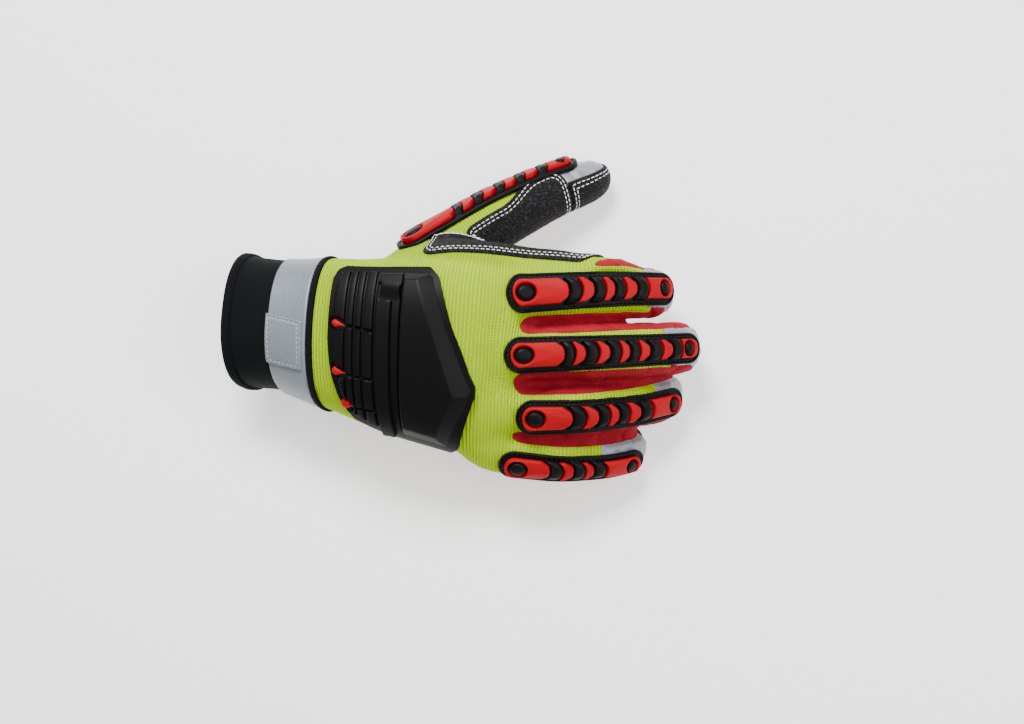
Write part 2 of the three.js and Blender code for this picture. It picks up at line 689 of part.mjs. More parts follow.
// Cuff, with its hem, the binding at the wrist, the reflective band and the closure strap on the palm side
piece("cuff", cuffLayer(-CUFF_WALL, 0, RIM_X - 6, WRIST_X - GAP), "neoprene");
piece("cuff_hem", cuffLayer(GAP, PATCH, RIM_X - 6, RIM_X + HEM), "neoprene");
piece("wrist_binding", cuffLayer(GAP, PATCH, WRIST_X - BINDING, WRIST_X - GAP), "neoprene");
const across = (from, to, sides, heights) => zone(bodyFrame, [from, (from + to) / 2, to], sides, heights);
const bandEnd = WRIST_X - BINDING - GAP;
const band = across(-134, -100, [-60, 60], [-9, 60]);
piece("cuff_band", cuffLayer(GAP, BAND, -131, bandEnd).intersect(band), "reflective");
const label = across(-129.5, -112, [-28, -3], [0, 60]);
piece("cuff_label", cuffLayer(BAND + GAP, BAND + PATCH, RIM_X, WRIST_X).intersect(label), "reflective");
const strap = across(-133, -119, [-60, 8], [-60, -9 - GAP]);
piece("closure_strap", cuffLayer(GAP, BAND + PATCH, RIM_X, WRIST_X).intersect(strap), "reflective");
const tab = across(-134, -118, [8 + GAP, 30], [-60, -9 - GAP]);
piece("strap_tab", cuffLayer(GAP, STRAP_TAB, RIM_X, WRIST_X).intersect(tab), "rubber");

export default glove;
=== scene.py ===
"""A heavy-duty impact glove for a right hand, empty but holding the shape of a relaxed hand, palm down."""
import math

import bpy
import numpy as np
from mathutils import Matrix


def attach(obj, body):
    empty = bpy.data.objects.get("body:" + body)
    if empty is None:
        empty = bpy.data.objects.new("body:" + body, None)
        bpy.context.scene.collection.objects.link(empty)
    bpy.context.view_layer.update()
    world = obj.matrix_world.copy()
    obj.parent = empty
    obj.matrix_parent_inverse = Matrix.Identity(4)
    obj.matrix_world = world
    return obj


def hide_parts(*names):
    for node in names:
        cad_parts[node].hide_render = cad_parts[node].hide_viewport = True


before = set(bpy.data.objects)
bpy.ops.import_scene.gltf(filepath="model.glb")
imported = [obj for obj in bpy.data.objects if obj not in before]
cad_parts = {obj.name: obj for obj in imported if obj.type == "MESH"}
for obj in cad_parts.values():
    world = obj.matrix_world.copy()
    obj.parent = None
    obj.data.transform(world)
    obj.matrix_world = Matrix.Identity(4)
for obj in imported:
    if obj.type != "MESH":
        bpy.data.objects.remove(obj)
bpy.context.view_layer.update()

import openvdb
from mathutils import Matrix, Vector

MM = 0.001
# The CAD frame's origin, in the millimetre frame that the tables below are written in
ORIGIN = np.array([-35.1, 37.75, 0.0])
# Where the knit meets the cuff, and the cuff's open end
WRIST_X = -106.0
RIM_X = -159.0
# The height at which the skin is flattened: the grip patches and the hem lie under it
PATCH = 1.6
# How square the ovals and the fingertips are: 2 is an ellipse
BODY_POWER = 2.35
FINGER_POWER = 2.25
TIP_POWER = 2.3
# The length of a rounded fingertip, of a bend and of a finger's slimmer root
TIP_ROUND = 15.0
BEND_SPREAD = 22.0
ROOT_SINK = 20.0
# How far from their meeting the fingers, the hand, the web and the thumb are blended
FINGER_BLEND = 4.5
HAND_BLEND = 7
WEB_BLEND = 9
# How far the index finger's loose side stands out, and where along and across it does
BULGE = 4.6
BULGE_RISE = (48, 16)
BULGE_FALL = (71, 20)
BULGE_SIDE = (8, 6)
# The box and cell of the grid that the skin is taken from, the depth kept in it, and the limits of a depth
SKIN_LOW = np.array([-116.0, -66.0, -4.0])
SKIN_HIGH = np.array([100.0, 142.0, 88.0])
CELL = 1.13
KNOWN = 8.0
DEEPEST = -14
FARTHEST = 30

# Sections of the cuff, wrist and palm: x, y, z, half width, rise, drop, roll in degrees
BODY = np.array([
    (-159, 25.5, 31.0, 36.5, 29, 35.0, 2),
    (-138, 23.0, 35.5, 36.0, 28, 30.0, 4),
    (-120, 19.5, 39.5, 38.5, 27, 26.0, 6),
    (-104, 17.0, 42.5, 42.0, 27, 25.0, 9),
    (-85, 13.5, 45.5, 45.0, 26, 25.0, 12),
    (-60, 10.5, 48.5, 48.0, 24, 24.0, 16),
    (-32, 6.5, 49.5, 51.0, 22, 20.0, 20),
    (-12, 1.5, 47.5, 53.0, 18, 16.0, 22),
    (4, -3.5, 44.5, 50.0, 11, 12.0, 23),
], float)
# The fold between the thumb and the index finger, with the same columns
WEB = np.array([
    (-80, 40, 44, 17, 18, 20, 5),
    (-50, 51, 46, 18, 19, 20, -5),
    (-26, 54, 47, 16, 18, 18, -5),
    (0, 55, 46, 13, 15, 14, 0),
    (24, 56, 44, 11, 12, 10, 4),
    (44, 54, 41, 7, 7, 6, 6),
], float)
# Each finger: its root, its turns in degrees, and (place, bend) of its joints; its half width, rise and drop
# are given at its root, its first joint and its tip
FINGERS = {
    "index": dict(root=(-22, 35.5, 60.5), yaw=8.8, pitch=8, roll=11, length=109,
                  joints=((52, 16), (80, 16)),
                  half=(15, 15.1, 14), rise=(16, 13, 10.5), drop=(14, 13, 10.5)),
    "middle": dict(root=(-22, 5.5, 55), yaw=7.2, pitch=7.5, roll=17, length=125,
                   joints=((62, 14), (94, 16)),
                   half=(15, 15.4, 14.2), rise=(16, 13, 10.5), drop=(14, 13, 10.5)),
    "ring": dict(root=(-24, -21.5, 43.5), yaw=5, pitch=7, roll=31, length=122,
                 joints=((58, 20), (88, 20)),
                 half=(13, 14.5, 13.3), rise=(15.5, 12.5, 10), drop=(13.5, 12.5, 10)),
    "little": dict(root=(-27, -38, 32), yaw=-2.4, pitch=6.5, roll=42, length=101,
                   joints=((50, 18), (74, 18)),
                   half=(11.5, 12.5, 11.5), rise=(14, 11.5, 9.5), drop=(11.5, 11.5, 9.5)),
    "thumb": dict(root=(-95, 28, 40), yaw=45.8, pitch=4.5, roll=-50, length=166,
                  joints=((50, 8), (95, 6), (126, 6)),
                  half=(20, 16, 12.5), rise=(16, 14, 10.5), drop=(22, 21, 10.5)),
}
# The fingers without the thumb, and the length of each silver tip
LONG = ("index", "middle", "ring", "little")
REFLECTIVE = dict(index=22, middle=26, ring=24, little=30, thumb=36)
# Each guard's start and end along the finger, its first rib, the ribs' number and step, and its half width
GUARDS = {
    "index": dict(start=14.0, end=104, first=47, ribs=4, step=10.9, half=9.8),
    "middle": dict(start=14.9, end=119, first=47.5, ribs=6, step=10.5, half=9.6),
    "ring": dict(start=24, end=114, first=53.5, ribs=4, step=10.9, half=9.4),
    "little": dict(start=19, end=94, first=46, ribs=3, step=10.3, half=8.8),
    "thumb": dict(start=42, end=151, first=77.5, ribs=5, step=12.6, half=9.4),
}
# The outline of the panel: place along the hand, low side, high side
PANEL = np.array([
    (-96.5, 0, 27), (-95, -19, 33), (-91, -33, 36), (-85, -41, 37), (-68, -46.4, 39.5), (-46, -48.8, 43.5),
    (-40.5, -49.2, 39.5), (-33.5, -49.4, 18), (-28.5, -46, 6), (-24, -28, -5.5), (-20.5, -14.5, -11.5),
], float)


# Numbers

def smooth(t):
    t = np.clip(t, 0, 1)
    return t * t * (3 - 2 * t)


def after(t, place):
    """0 up to a place and 1 past it, over a length."""
    start, length = place
    return smooth((t - start) / length)


def arch(t):
    """The rise of a quarter circle, from 0 to 1."""
    return np.sqrt(np.clip(1 - (1 - np.clip(t, 0, 1)) ** 2, 0, 1))


def mixed(a, b, share):
    return a + (b - a) * share


def bell(t):
    return np.exp(-t ** 2)


def least(*fields):
    return np.minimum.reduce(fields)


def most(*fields):
    return np.maximum.reduce(fields)


def grid(*axes):
    return np.meshgrid(*axes, indexing="ij")


def steps_of(line):
    return np.linalg.norm(np.diff(line, axis=0), axis=1)


def unit(v):
    return v / np.linalg.norm(v, axis=-1, keepdims=True)


def dot(a, b):
    return np.einsum("...i,...i->...", a, b)


def turned(v, axis, angle):
    c = np.cos(angle)
    return v * c + np.cross(axis, v) * np.sin(angle) + axis * np.dot(axis, v) * (1 - c)


def hashed(n, seed):
    return np.modf(np.abs(np.sin(n * 127.1 + seed * 311.7) * 43758.5453))[0]


def noise(p, scale, seed=0):
    """Smooth value noise at points, from -1 to 1."""
    q = np.asarray(p, float) / scale + 1000.0
    cell = np.floor(q)
    f = smooth(q - cell)
    total = 0
    for corner in np.ndindex(2, 2, 2):
        c = cell + corner
        n = c[..., 0] * 1.0 + c[..., 1] * 57.0 + c[..., 2] * 113.0
        w = np.prod(np.where(np.array(corner) == 1, f, 1 - f), axis=-1)
        total = total + w * hashed(n, seed + 1)
    return total * 2 - 1


# Paths: axes and oval sizes at even steps along the cuff and hand, the web and each finger

def frame_at(at, along, roll):
    level = unit(np.array([0, 0, 1.0]) - along * along[2])
    side = np.cross(level, along)
    up = level * np.cos(roll) - side * np.sin(roll)
    return np.array(at, float), along, np.cross(up, along), up


def row_at(table, x):
    last = len(table) - 1
    i = int(np.clip(np.searchsorted(table[:, 0], x, side="right") - 1, 0, last - 1))
    before, a, b, beyond = (table[int(np.clip(k, 0, last))] for k in (i - 1, i, i + 1, i + 2))
    span = b[0] - a[0]
    t = (x - a[0]) / span
    enter = (b - a) / span if i == 0 else (b - before) / (b[0] - before[0])
    leave = (b - a) / span if i == last - 1 else (beyond - a) / (beyond[0] - a[0])
    t2, t3 = t * t, t ** 3
    return (a * (2 * t3 - 3 * t2 + 1) + b * (3 * t2 - 2 * t3)
            + span * (enter * (t3 - 2 * t2 + t) + leave * (t3 - t2)))


class Path:
    """Sections at even steps. local() gives a point's distance along, across and up, and its depth."""

    def __init__(self, stops, sections, power, start_cap, end_cap):
        self.first, self.step = stops[0], stops[1] - stops[0]
        self.stops = stops
        self.at, self.along, self.across, self.up = (np.array([s[k] for s in sections]) for k in range(4))
        self.sizes = np.array([s[4] for s in sections], float)
        self.power, self.start_cap, self.end_cap = power, start_cap, end_cap
        self.table = np.hstack([self.at, self.along, self.across, self.up, self.sizes])
        self.rate = self.step / steps_of(self.at).mean()

    def read(self, t):
        f = np.clip((t - self.first) / self.step, 0, len(self.stops) - 1.001)
        i = f.astype(int)
        f = (f - i)[..., None]
        row = self.table[i] * (1 - f) + self.table[i + 1] * f
        return row[..., 0:3], row[..., 3:6], row[..., 6:9], row[..., 9:12], row[..., 12:15]

    def local(self, p):
        a, b = self.at[0], self.at[-1]
        t = self.first + dot(p - a, b - a) / dot(b - a, b - a) * (self.stops[-1] - self.first)
        for _ in range(6):
            at, along, _, _, _ = self.read(t)
            t = np.clip(t + dot(p - at, along) * self.rate, self.first, self.stops[-1])
        at, along, across, up, size = self.read(t)
        u, v = dot(p - at, across), dot(p - at, up)
        over = np.abs(dot(p - at, along))
        half, tall = size[..., 0], np.where(v > 0, size[..., 1], size[..., 2])
        power = self.power
        x, y = np.abs(u) / half + 1e-6, np.abs(v) / tall + 1e-6
        rho = np.maximum((x ** power + y ** power) ** (1 / power), 0.05)
        slope = np.hypot((x / rho) ** (power - 1) / half, (y / rho) ** (power - 1) / tall)
        end = np.zeros_like(t)
        cap = np.ones_like(t)
        for limit, sign in ((self.start_cap, -1), (self.end_cap, 1)):
            if limit is None:
                continue
            begin, reach = limit
            e = (sign * (t - begin) + over * (over > 1e-3)) / reach
            use = e > end
            end, cap = np.where(use, e, end), np.where(use, reach, cap)
        q = TIP_POWER
        g = (rho ** q + end ** q) ** (1 / q)
        grad = np.hypot((rho / g) ** (q - 1) * slope, (end / g) ** (q - 1) / cap)
        return t, u, v, np.clip((g - 1) / grad, DEEPEST, FARTHEST)


def table_path(table, first, last, start_cap, end_cap):
    stops = np.arange(first, last + 0.5, 1.0)
    sections = []
    for x in stops:
        row = row_at(table, x)
        dz = row_at(table, x + 1)[2] - row_at(table, x - 1)[2]
        axes = frame_at((x, row[1], row[2]), unit(np.array([2, 0, dz])), math.radians(row[6]))
        sections.append((*axes, row[3:6]))
    return Path(stops, sections, BODY_POWER, start_cap, end_cap)


# The step along a finger's path, how far it goes past the tip, and the place and length of its round root
STEP = 0.5
PAST_TIP = 14
ROOT_CAP = (12, 14)


def finger_bend(finger, s):
    return sum(math.radians(bend) * smooth((s - at) / BEND_SPREAD + 0.5) for at, bend in finger["joints"])


def finger_sizes(finger, s):
    middle, length = finger["joints"][0][0], finger["length"]
    def size(three):
        a, b, c = three
        return a + (b - a) * s / middle if s < middle else b + (c - b) * (s - middle) / (length - middle)
    sunk = 0.7 + 0.3 * smooth(s / ROOT_SINK)
    half, rise, drop = (size(finger[key]) for key in ("half", "rise", "drop"))
    return np.array([half * (sunk + 1) / 2, rise * sunk, drop])


def finger_path(finger):
    yaw, pitch = math.radians(finger["yaw"]), math.radians(finger["pitch"])
    start = np.array([math.cos(yaw) * math.cos(pitch), math.sin(yaw) * math.cos(pitch), -math.sin(pitch)])
    root, along, across, up = frame_at(finger["root"], start, math.radians(finger["roll"]))
    stops = np.arange(0, finger["length"] + PAST_TIP + STEP / 2, STEP)
    at = root.copy()
    sections = []
    for i, s in enumerate(stops):
        if i:
            at = at + turned(along, across, finger_bend(finger, s - STEP / 2)) * STEP
        bend = finger_bend(finger, s)
        sections.append((at.copy(), turned(along, across, bend), across, turned(up, across, bend),
                         finger_sizes(finger, s)))
    return Path(stops, sections, FINGER_POWER, ROOT_CAP, (finger["length"] - TIP_ROUND, TIP_ROUND))


BODY_PATH = table_path(BODY, first=-168, last=12, start_cap=None, end_cap=(-8, 12))
WEB_PATH = table_path(WEB, first=-84, last=50, start_cap=(-64, 16), end_cap=(34, 10))
FINGER_PATHS = {name: finger_path(finger) for name, finger in FINGERS.items()}


# The skin: the distance to its surface, blended where fingers, palm and web meet

def blended(a, b, reach):
    h = np.maximum(reach - np.abs(a - b), 0) / reach
    return np.minimum(a, b) - h * h * reach / 4


def join_skin(d, z):
    first = blended(d["index"], d["middle"], FINGER_BLEND)
    last = blended(d["ring"], d["little"], FINGER_BLEND)
    whole = blended(blended(first, last, FINGER_BLEND), d["body"], HAND_BLEND)
    whole = blended(whole, d["web"], WEB_BLEND)
    whole = blended(whole, d["thumb"], WEB_BLEND)
    return np.maximum(whole, PATCH - z)


PATHS = {"body": BODY_PATH, "web": WEB_PATH, **FINGER_PATHS}


def bulged(found):
    """The loose side of the index finger, which stands out beside its middle joint."""
    t, u, v, d = found
    out = after(t, BULGE_RISE) * (1 - after(t, BULGE_FALL)) * after(u, BULGE_SIDE)
    return t, u, v, d - BULGE * out


def found_at(name, p):
    found = PATHS[name].local(p)
    return bulged(found) if name == "index" else found


def skin_at(p):
    found = {name: found_at(name, p) for name in PATHS}
    return join_skin({name: f[3] for name, f in found.items()}, p[..., 2]), found


def skin_mesh():
    count = ((SKIN_HIGH - SKIN_LOW) / CELL).astype(int)
    grids = {}
    axes = [SKIN_LOW[k] + CELL * np.arange(count[k]) for k in range(3)]
    for name, path in PATHS.items():
        reach = path.sizes.max() + 12
        a = np.clip(((path.at.min(0) - reach - SKIN_LOW) / CELL).astype(int), 0, count)
        b = np.clip(((path.at.max(0) + reach - SKIN_LOW) / CELL).astype(int), 0, count)
        values = np.full(count, FARTHEST, np.float32)
        x, y, z = grid(*(axes[k][a[k]:b[k]] for k in range(3)))
        values[a[0]:b[0], a[1]:b[1], a[2]:b[2]] = found_at(name, np.stack([x, y, z], -1))[3]
        grids[name] = values
    depth = join_skin(grids, axes[2][None, None, :])
    volume = openvdb.FloatGrid(KNOWN)
    volume.copyFromArray(np.clip(depth, -KNOWN, KNOWN).astype(np.float32))
    points, quads = volume.convertToQuads(0.0)
    points = np.array(points, float) * CELL + SKIN_LOW
    for _ in range(2):
        d, n = skin_and_normal(points)
        points = points - n * np.clip(d, -0.6, 0.6)[:, None]
    tris = halved(*np.array(quads).T)
    if signed_volume(points, tris) < 0:
        tris = tris[:, ::-1]
    return points, tris


def skin_and_normal(p, step=0.25):
    d, _ = skin_at(p)
    grad = np.stack([skin_at(p + step * e)[0] - d for e in np.eye(3)], -1)
    return d, unit(grad + 1e-9)


def signed_volume(v, tris):
    a, b, c = (v[tris[:, k]] for k in range(3))
    return dot(a, np.cross(b, c)).sum() / 6


# Meshes

def halved(a, b, c, d):
    """Two triangles for each four-cornered cell."""
    return np.vstack([np.stack(three, -1).reshape(-1, 3) for three in ((a, b, c), (a, c, d))])


def edges_of(tris):
    return np.vstack([tris[:, [0, 1]], tris[:, [1, 2]], tris[:, [2, 0]]])


class Mesh:
    """Points in millimetres, triangles, and a value of each named kind at each point."""

    def __init__(self, v, tris, values=None):
        self.v, self.tris, self.values = v, tris, dict(values or {})

    def tidy(self):
        used, inverse = np.unique(self.tris, return_inverse=True)
        self.tris = inverse.reshape(-1, 3)
        self.v = self.v[used]
        self.values = {k: a[used] for k, a in self.values.items()}
        return self

    def split(self, field):
        """The part where the field is above zero, and the rest, cut along the line between them."""
        f = np.where(np.abs(field) < 0.04, 0.0, field)
        sign = (f >= 0)
        inside_count = sign[self.tris].sum(1)
        cut = self.tris[(inside_count > 0) & (inside_count < 3)]
        edges = np.sort(edges_of(cut), 1)
        edges = edges[sign[edges[:, 0]] != sign[edges[:, 1]]]
        edges = np.unique(edges, axis=0)
        a, b = edges[:, 0], edges[:, 1]
        t = f[a] / (f[a] - f[b])
        n = len(self.v)
        mix = lambda x: x[a] + (x[b] - x[a]) * (t if x.ndim == 1 else t[:, None])
        v = np.vstack([self.v, mix(self.v)])
        values = {k: np.concatenate([x, mix(x)]) for k, x in self.values.items()}
        key = {(int(p), int(q)): n + i for i, (p, q) in enumerate(edges)}
        point = lambda p, q: key[(p, q) if p < q else (q, p)]
        parts = ([self.tris[inside_count == 3]], [self.tris[inside_count == 0]])
        extra = ([], [])
        for tri in cut.tolist():
            s = [bool(sign[i]) for i in tri]
            lone = s.index(True) if sum(s) == 1 else s.index(False)
            i, j, k = tri[lone], tri[(lone + 1) % 3], tri[(lone + 2) % 3]
            ij, ik = point(i, j), point(i, k)
            side = 0 if s[lone] else 1
            extra[side].append((i, ij, ik))
            extra[1 - side].extend([(ij, j, k), (ij, k, ik)])
        made = []
        for part, more in zip(parts, extra):
            tris = np.vstack(part + ([np.array(more)] if more else []))
            made.append(Mesh(v, tris, values).tidy() if len(tris) else Mesh(v[:0], tris, {}))
        return made

    def biggest(self, smallest=40):
        """Without loose bits of few triangles."""
        parent = np.arange(len(self.v))
        edges = edges_of(self.tris)
        for _ in range(60):
            low = np.minimum(parent[edges[:, 0]], parent[edges[:, 1]])
            before = parent.copy()
            np.minimum.at(parent, edges[:, 0], low)
            np.minimum.at(parent, edges[:, 1], low)
            parent = parent[parent]
            if (before == parent).all():
                break
        label = parent[self.tris[:, 0]]
        names, counts = np.unique(label, return_counts=True)
        keep = np.isin(label, names[counts >= smallest])
        self.tris = self.tris[keep]
        return self.tidy()

    def shell(self, outer, inner):
        """A closed wall between two heights over the surface, which may differ from point to point."""
        n = self.values["n"]
        high = self.v + n * np.broadcast_to(outer, len(self.v))[:, None]
        low = self.v + n * np.broadcast_to(inner, len(self.v))[:, None]
        count = len(self.v)
        edges = edges_of(self.tris)
        code = edges[:, 0].astype(np.int64) * count + edges[:, 1]
        back = edges[:, 1].astype(np.int64) * count + edges[:, 0]
        a, b = edges[~np.isin(code, back)].T
        tris = np.vstack([self.tris, self.tris[:, ::-1] + count, halved(b, a, a + count, b + count)])
        values = {k: np.concatenate([x, x]) for k, x in self.values.items()}
        return Mesh(np.vstack([high, low]), tris, values)


def joined(meshes):
    v, tris, at = [], [], 0
    names = set.intersection(*[set(m.values) for m in meshes])
    for m in meshes:
        v.append(m.v)
        tris.append(m.tris + at)
        at += len(m.v)
    values = {k: np.concatenate([m.values[k] for m in meshes]) for k in names}
    return Mesh(np.vstack(v), np.vstack(tris), values)


def relief(point, along, across, top, base, keep=None):
    """A closed slab over a grid of places: its top, its base and the walls round the cells that are kept."""
    rows, columns = along.shape
    upper, lower = point(along, across, top), point(along, across, np.broadcast_to(base, along.shape))
    index = np.arange(rows * columns).reshape(rows, columns)
    keep = np.ones((rows - 1, columns - 1), bool) if keep is None else keep
    a, b, c, d = index[:-1, :-1][keep], index[1:, :-1][keep], index[1:, 1:][keep], index[:-1, 1:][keep]
    tris = halved(a, b, c, d)
    flat, thick = upper.reshape(-1, 3), (upper - lower).reshape(-1, 3)
    first, second, third = (flat[tris[:, k]] for k in range(3))
    if dot(np.cross(second - first, third - first), thick[tris[:, 0]]).sum() < 0:
        tris = tris[:, ::-1]
    mesh = Mesh(flat, tris, {"n": unit(thick + 1e-12), "thick": np.linalg.norm(thick, axis=1)}).tidy()
    shell = mesh.shell(0.0, -mesh.values["thick"])
    return Mesh(shell.v, shell.tris)


def fitted(along, across, inside):
    """The grid with the places next to the outline moved onto it, and the cells that lie within."""
    step_a, step_c = np.diff(along[:, 0]).mean(), np.diff(across[0]).mean()
    ga = np.gradient(inside, along[:, 0], axis=0)
    gc = np.gradient(inside, across[0], axis=1)
    size = np.maximum(ga ** 2 + gc ** 2, 0.05)
    near = np.abs(inside) < 0.62 * max(step_a, step_c) * np.sqrt(size)
    shift = np.where(near, -inside / size, 0.0)
    moved_a = along + np.clip(shift * ga, -step_a, step_a) * near
    moved_c = across + np.clip(shift * gc, -step_c, step_c) * near
    ok = near | (inside > 0)
    keep = ok[:-1, :-1] & ok[1:, :-1] & ok[1:, 1:] & ok[:-1, 1:]
    solid = inside > 0.02
    keep &= solid[:-1, :-1] | solid[1:, :-1] | solid[1:, 1:] | solid[:-1, 1:]
    return moved_a, moved_c, keep


def ring_mesh(rings, closed_along=False):
    """A skin over rings of points; the first ring joins the last where it is a closed profile."""
    rings = np.asarray(rings)
    count, sides, _ = rings.shape
    index = np.arange(count * sides).reshape(count, sides)
    rows = np.vstack([index, index[:1]]) if closed_along else index
    a, b = rows[:-1], rows[1:]
    mesh = Mesh(rings.reshape(-1, 3), halved(a, np.roll(a, -1, 1), np.roll(b, -1, 1), b))
    if signed_volume(mesh.v - mesh.v.mean(0), mesh.tris) < 0:
        mesh.tris = mesh.tris[:, ::-1]
    return mesh


def make(name, mesh, material, slot, nodes=(), sharp=50):
    data = bpy.data.meshes.new(name)
    v = ((mesh.v - ORIGIN) * MM).astype(np.float32)
    tris = mesh.tris.astype(np.int32)
    data.vertices.add(len(v))
    data.vertices.foreach_set("co", v.ravel())
    data.loops.add(len(tris) * 3)
    data.loops.foreach_set("vertex_index", tris.ravel())
    data.polygons.add(len(tris))
    data.polygons.foreach_set("loop_start", np.arange(0, len(tris) * 3, 3, dtype=np.int32))
    data.polygons.foreach_set("use_smooth", np.ones(len(tris), bool))
    data.update(calc_edges=True)
    data.validate()
    for key, x in mesh.values.items():
        data.attributes.new(key, "FLOAT", "POINT").data.foreach_set("value", x.astype(np.float32))
    data.set_sharp_from_angle(angle=math.radians(sharp))
    data.materials.append(material)
    obj = bpy.data.objects.new(name, data)
    bpy.context.scene.collection.objects.link(obj)
    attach(obj, "root")
    if nodes:
        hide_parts(*nodes)


# The fabric pieces of the hand

SKIN_WALL = 1.9
OFF_FLOOR = 0.02  # of the grip patches and their thread
# Where the thumb's ribs start to count, how softly ribs change from path to path, and the web's part in them
THUMB_RIBS = -107.0
RIB_SPREAD = 4.0
WEB_PART = 0.6


def rounded(fields, radius):
    """The depth inside several straight edges at once, with corners of a radius."""
    fields = np.stack(fields)
    near = np.maximum(radius - fields, 0)
    return np.where(fields.min(0) >= radius, fields.min(0), radius - np.sqrt((near ** 2).sum(0)))


def fields_of(found):
    f = {}
    for name, (t, u, v, d) in found.items():
        f[name + "_s"], f[name + "_u"], f[name + "_v"], f[name + "_d"] = t, u, v, d
    return f


def base_skin():
    v, tris = skin_mesh()
    d, n = skin_and_normal(v)
    _, found = skin_at(v)
    f = fields_of(found)
    names = list(PATHS)
    depth = np.stack([f[k + "_d"] for k in names])
    weight = np.exp(-np.clip(depth - depth.min(0), 0, 60) / RIB_SPREAD)
    weight[names.index("web")] *= WEB_PART
    starts = {"body": 0.0, "web": 0.0, **{k: FINGERS[k]["root"][0] for k in LONG}, "thumb": THUMB_RIBS}
    rib = np.zeros(len(v))
    across = np.zeros(len(v))
    for w, k in zip(weight, names):
        rib += w * (starts[k] + f[k + "_s"])
        across += w * f[k + "_u"]
    f["rib"], f["cross"] = rib / weight.sum(0), across / weight.sum(0)
    f["n"] = n
    hand, _ = Mesh(v, tris, f).split(f["body_s"] - WRIST_X)
    return hand.biggest(2000)


# Fields say how far inside a piece of cloth a place is, in millimetres.
# The low and high side of each knit strip, how far from a path its pieces reach, and the thumb's high side
STRIPS = dict(index=(-12.2, 13.2), middle=(-10.2, 11.6), ring=(-9.8, 11.6), little=(-11.5, 9.8))
NEAR = 6
WIDE = 10
THUMB_HIGH = 10
# The side strips: start along the finger, lowest place, low and high side, and reach
SIDE_LIMITS = (13, -8, 5, 24, 5)
# The knit's start on the fingers, how far it goes under the silver, its edge between the fingers and that
# edge's waves, and how softly the strips join the back of the hand
STRIP_START = 5
UNDER_SILVER = 3
CROTCH = -2
CROTCH_WAVE = 1.2
STRIP_BLEND = 6
# Along and across the hand, where the knit's edge drops at the heel, and how far
HEEL_ALONG = (-72, 14)
HEEL_ACROSS = (16, 12)
HEEL_DROP = 12


def place_on(f, name):
    return (f[name + part] for part in ("_s", "_u", "_v", "_d"))


def strip_field(f, name, start, end):
    low, high = STRIPS[name]
    s, u, v, d = place_on(f, name)
    return least(s - start, end - s, high - u, u - low, v, NEAR - d)


def tip_field(f, name):
    s, u, v, d = place_on(f, name)
    length = FINGERS[name]["length"]
    start = length - REFLECTIVE[name]
    if name == "thumb":
        return least(s - start, THUMB_HIGH - u, v - 2, NEAR - d)
    ends = np.maximum(u + 9.4, s - (length - 9))
    return np.minimum(strip_field(f, name, start, length + 30), ends)


def back_field(f):
    s, u, v, d = place_on(f, "body")
    crotch = CROTCH - s + CROTCH_WAVE * noise(np.stack([u, 0 * u, 0 * u], 1), 7, 9)
    heel = HEEL_DROP * (1 - after(s, HEEL_ALONG)) * after(u, HEEL_ACROSS)
    body = least(v + 3 + heel, crotch, WIDE - d)
    s, u, v, d = place_on(f, "web")
    web = least(u + 6, v - 1, WIDE - d, 46 - s)
    s, u, v, d = place_on(f, "thumb")
    end = FINGERS["thumb"]["length"] - REFLECTIVE["thumb"] + UNDER_SILVER
    thumb = least(end - s, THUMB_HIGH - u, v + 7, NEAR - d)
    back = most(body, web, thumb)
    for name in LONG:
        end = FINGERS[name]["length"] - REFLECTIVE[name] + UNDER_SILVER
        back = -blended(-back, -strip_field(f, name, STRIP_START, end), STRIP_BLEND)
    return back


def side_field(f, thumbwards, outwards):
    fields = []
    start, floor, low, high, reach = SIDE_LIMITS
    for name, sign in ((thumbwards, 1), (outwards, -1)):
        if name:
            s, u, v, d = place_on(f, name)
            fields.append(least(s - start, v - floor, sign * u - low, high - sign * u, reach - d))
    return most(*fields)


# The finger whose side towards the thumb each strip covers, and the finger whose other side it covers
SIDES = {
    "index_sidewall": ("index", None),
    "index_middle_sidewall": ("middle", "index"),
    "middle_ring_sidewall": ("ring", "middle"),
    "ring_little_sidewall": ("little", "ring"),
    "little_sidewall": (None, "little"),
}


def fabric_pieces(skin):
    f = skin.values
    tips = {name: tip_field(f, name) for name in FINGERS}
    tip = most(*tips.values())
    back = back_field(f)
    seam = np.minimum(np.abs(tip), np.where(tip > 0, 99, np.abs(back)))
    skin.v = skin.v - f["n"] * (0.75 * bell(seam / 1.2))[:, None]
    skin.values["back"] = back
    for name in FINGERS:
        skin.values["tip_" + name] = tips[name]
    tip_part, rest = skin.split(tip)
    back_part, under = rest.split(rest.values["back"])
    made = {"hand_back": back_part.biggest()}
    sides = {}
    for name, pair in SIDES.items():
        side, under = under.split(side_field(under.values, *pair))
        sides[name] = side.biggest()
    made["palm"] = under.biggest(150)
    made.update(sides)
    for name in FINGERS:
        part, tip_part = tip_part.split(tip_part.values["tip_" + name])
        made[name + "_reflective_tip"] = part.biggest()
    return made


# Grip patches, a layer over the skin with a rounded edge

# The two stitched lines' distances from a patch's edge, their height, and their pitch, length and radius
STITCH_LINES = (2.0, 3.7)
THREAD_HEIGHT = 1.35
STITCH_PITCH = 2.9
STITCH_LENGTH = 2.1
THREAD_R = 0.32
SHORTEST_SEAM = 12
# A patch's height at its edge, what it gains inwards, its underside, the thread's dent and the loops' height
PATCH_EDGE = 0.25
PATCH_RISE = 1.3
PATCH_UNDER = 0.1
THREAD_DENT = 0.3
PATCH_LOOPS = 0.12
# How sharply a patch ends where it runs out of a path's reach
STEEP = 9
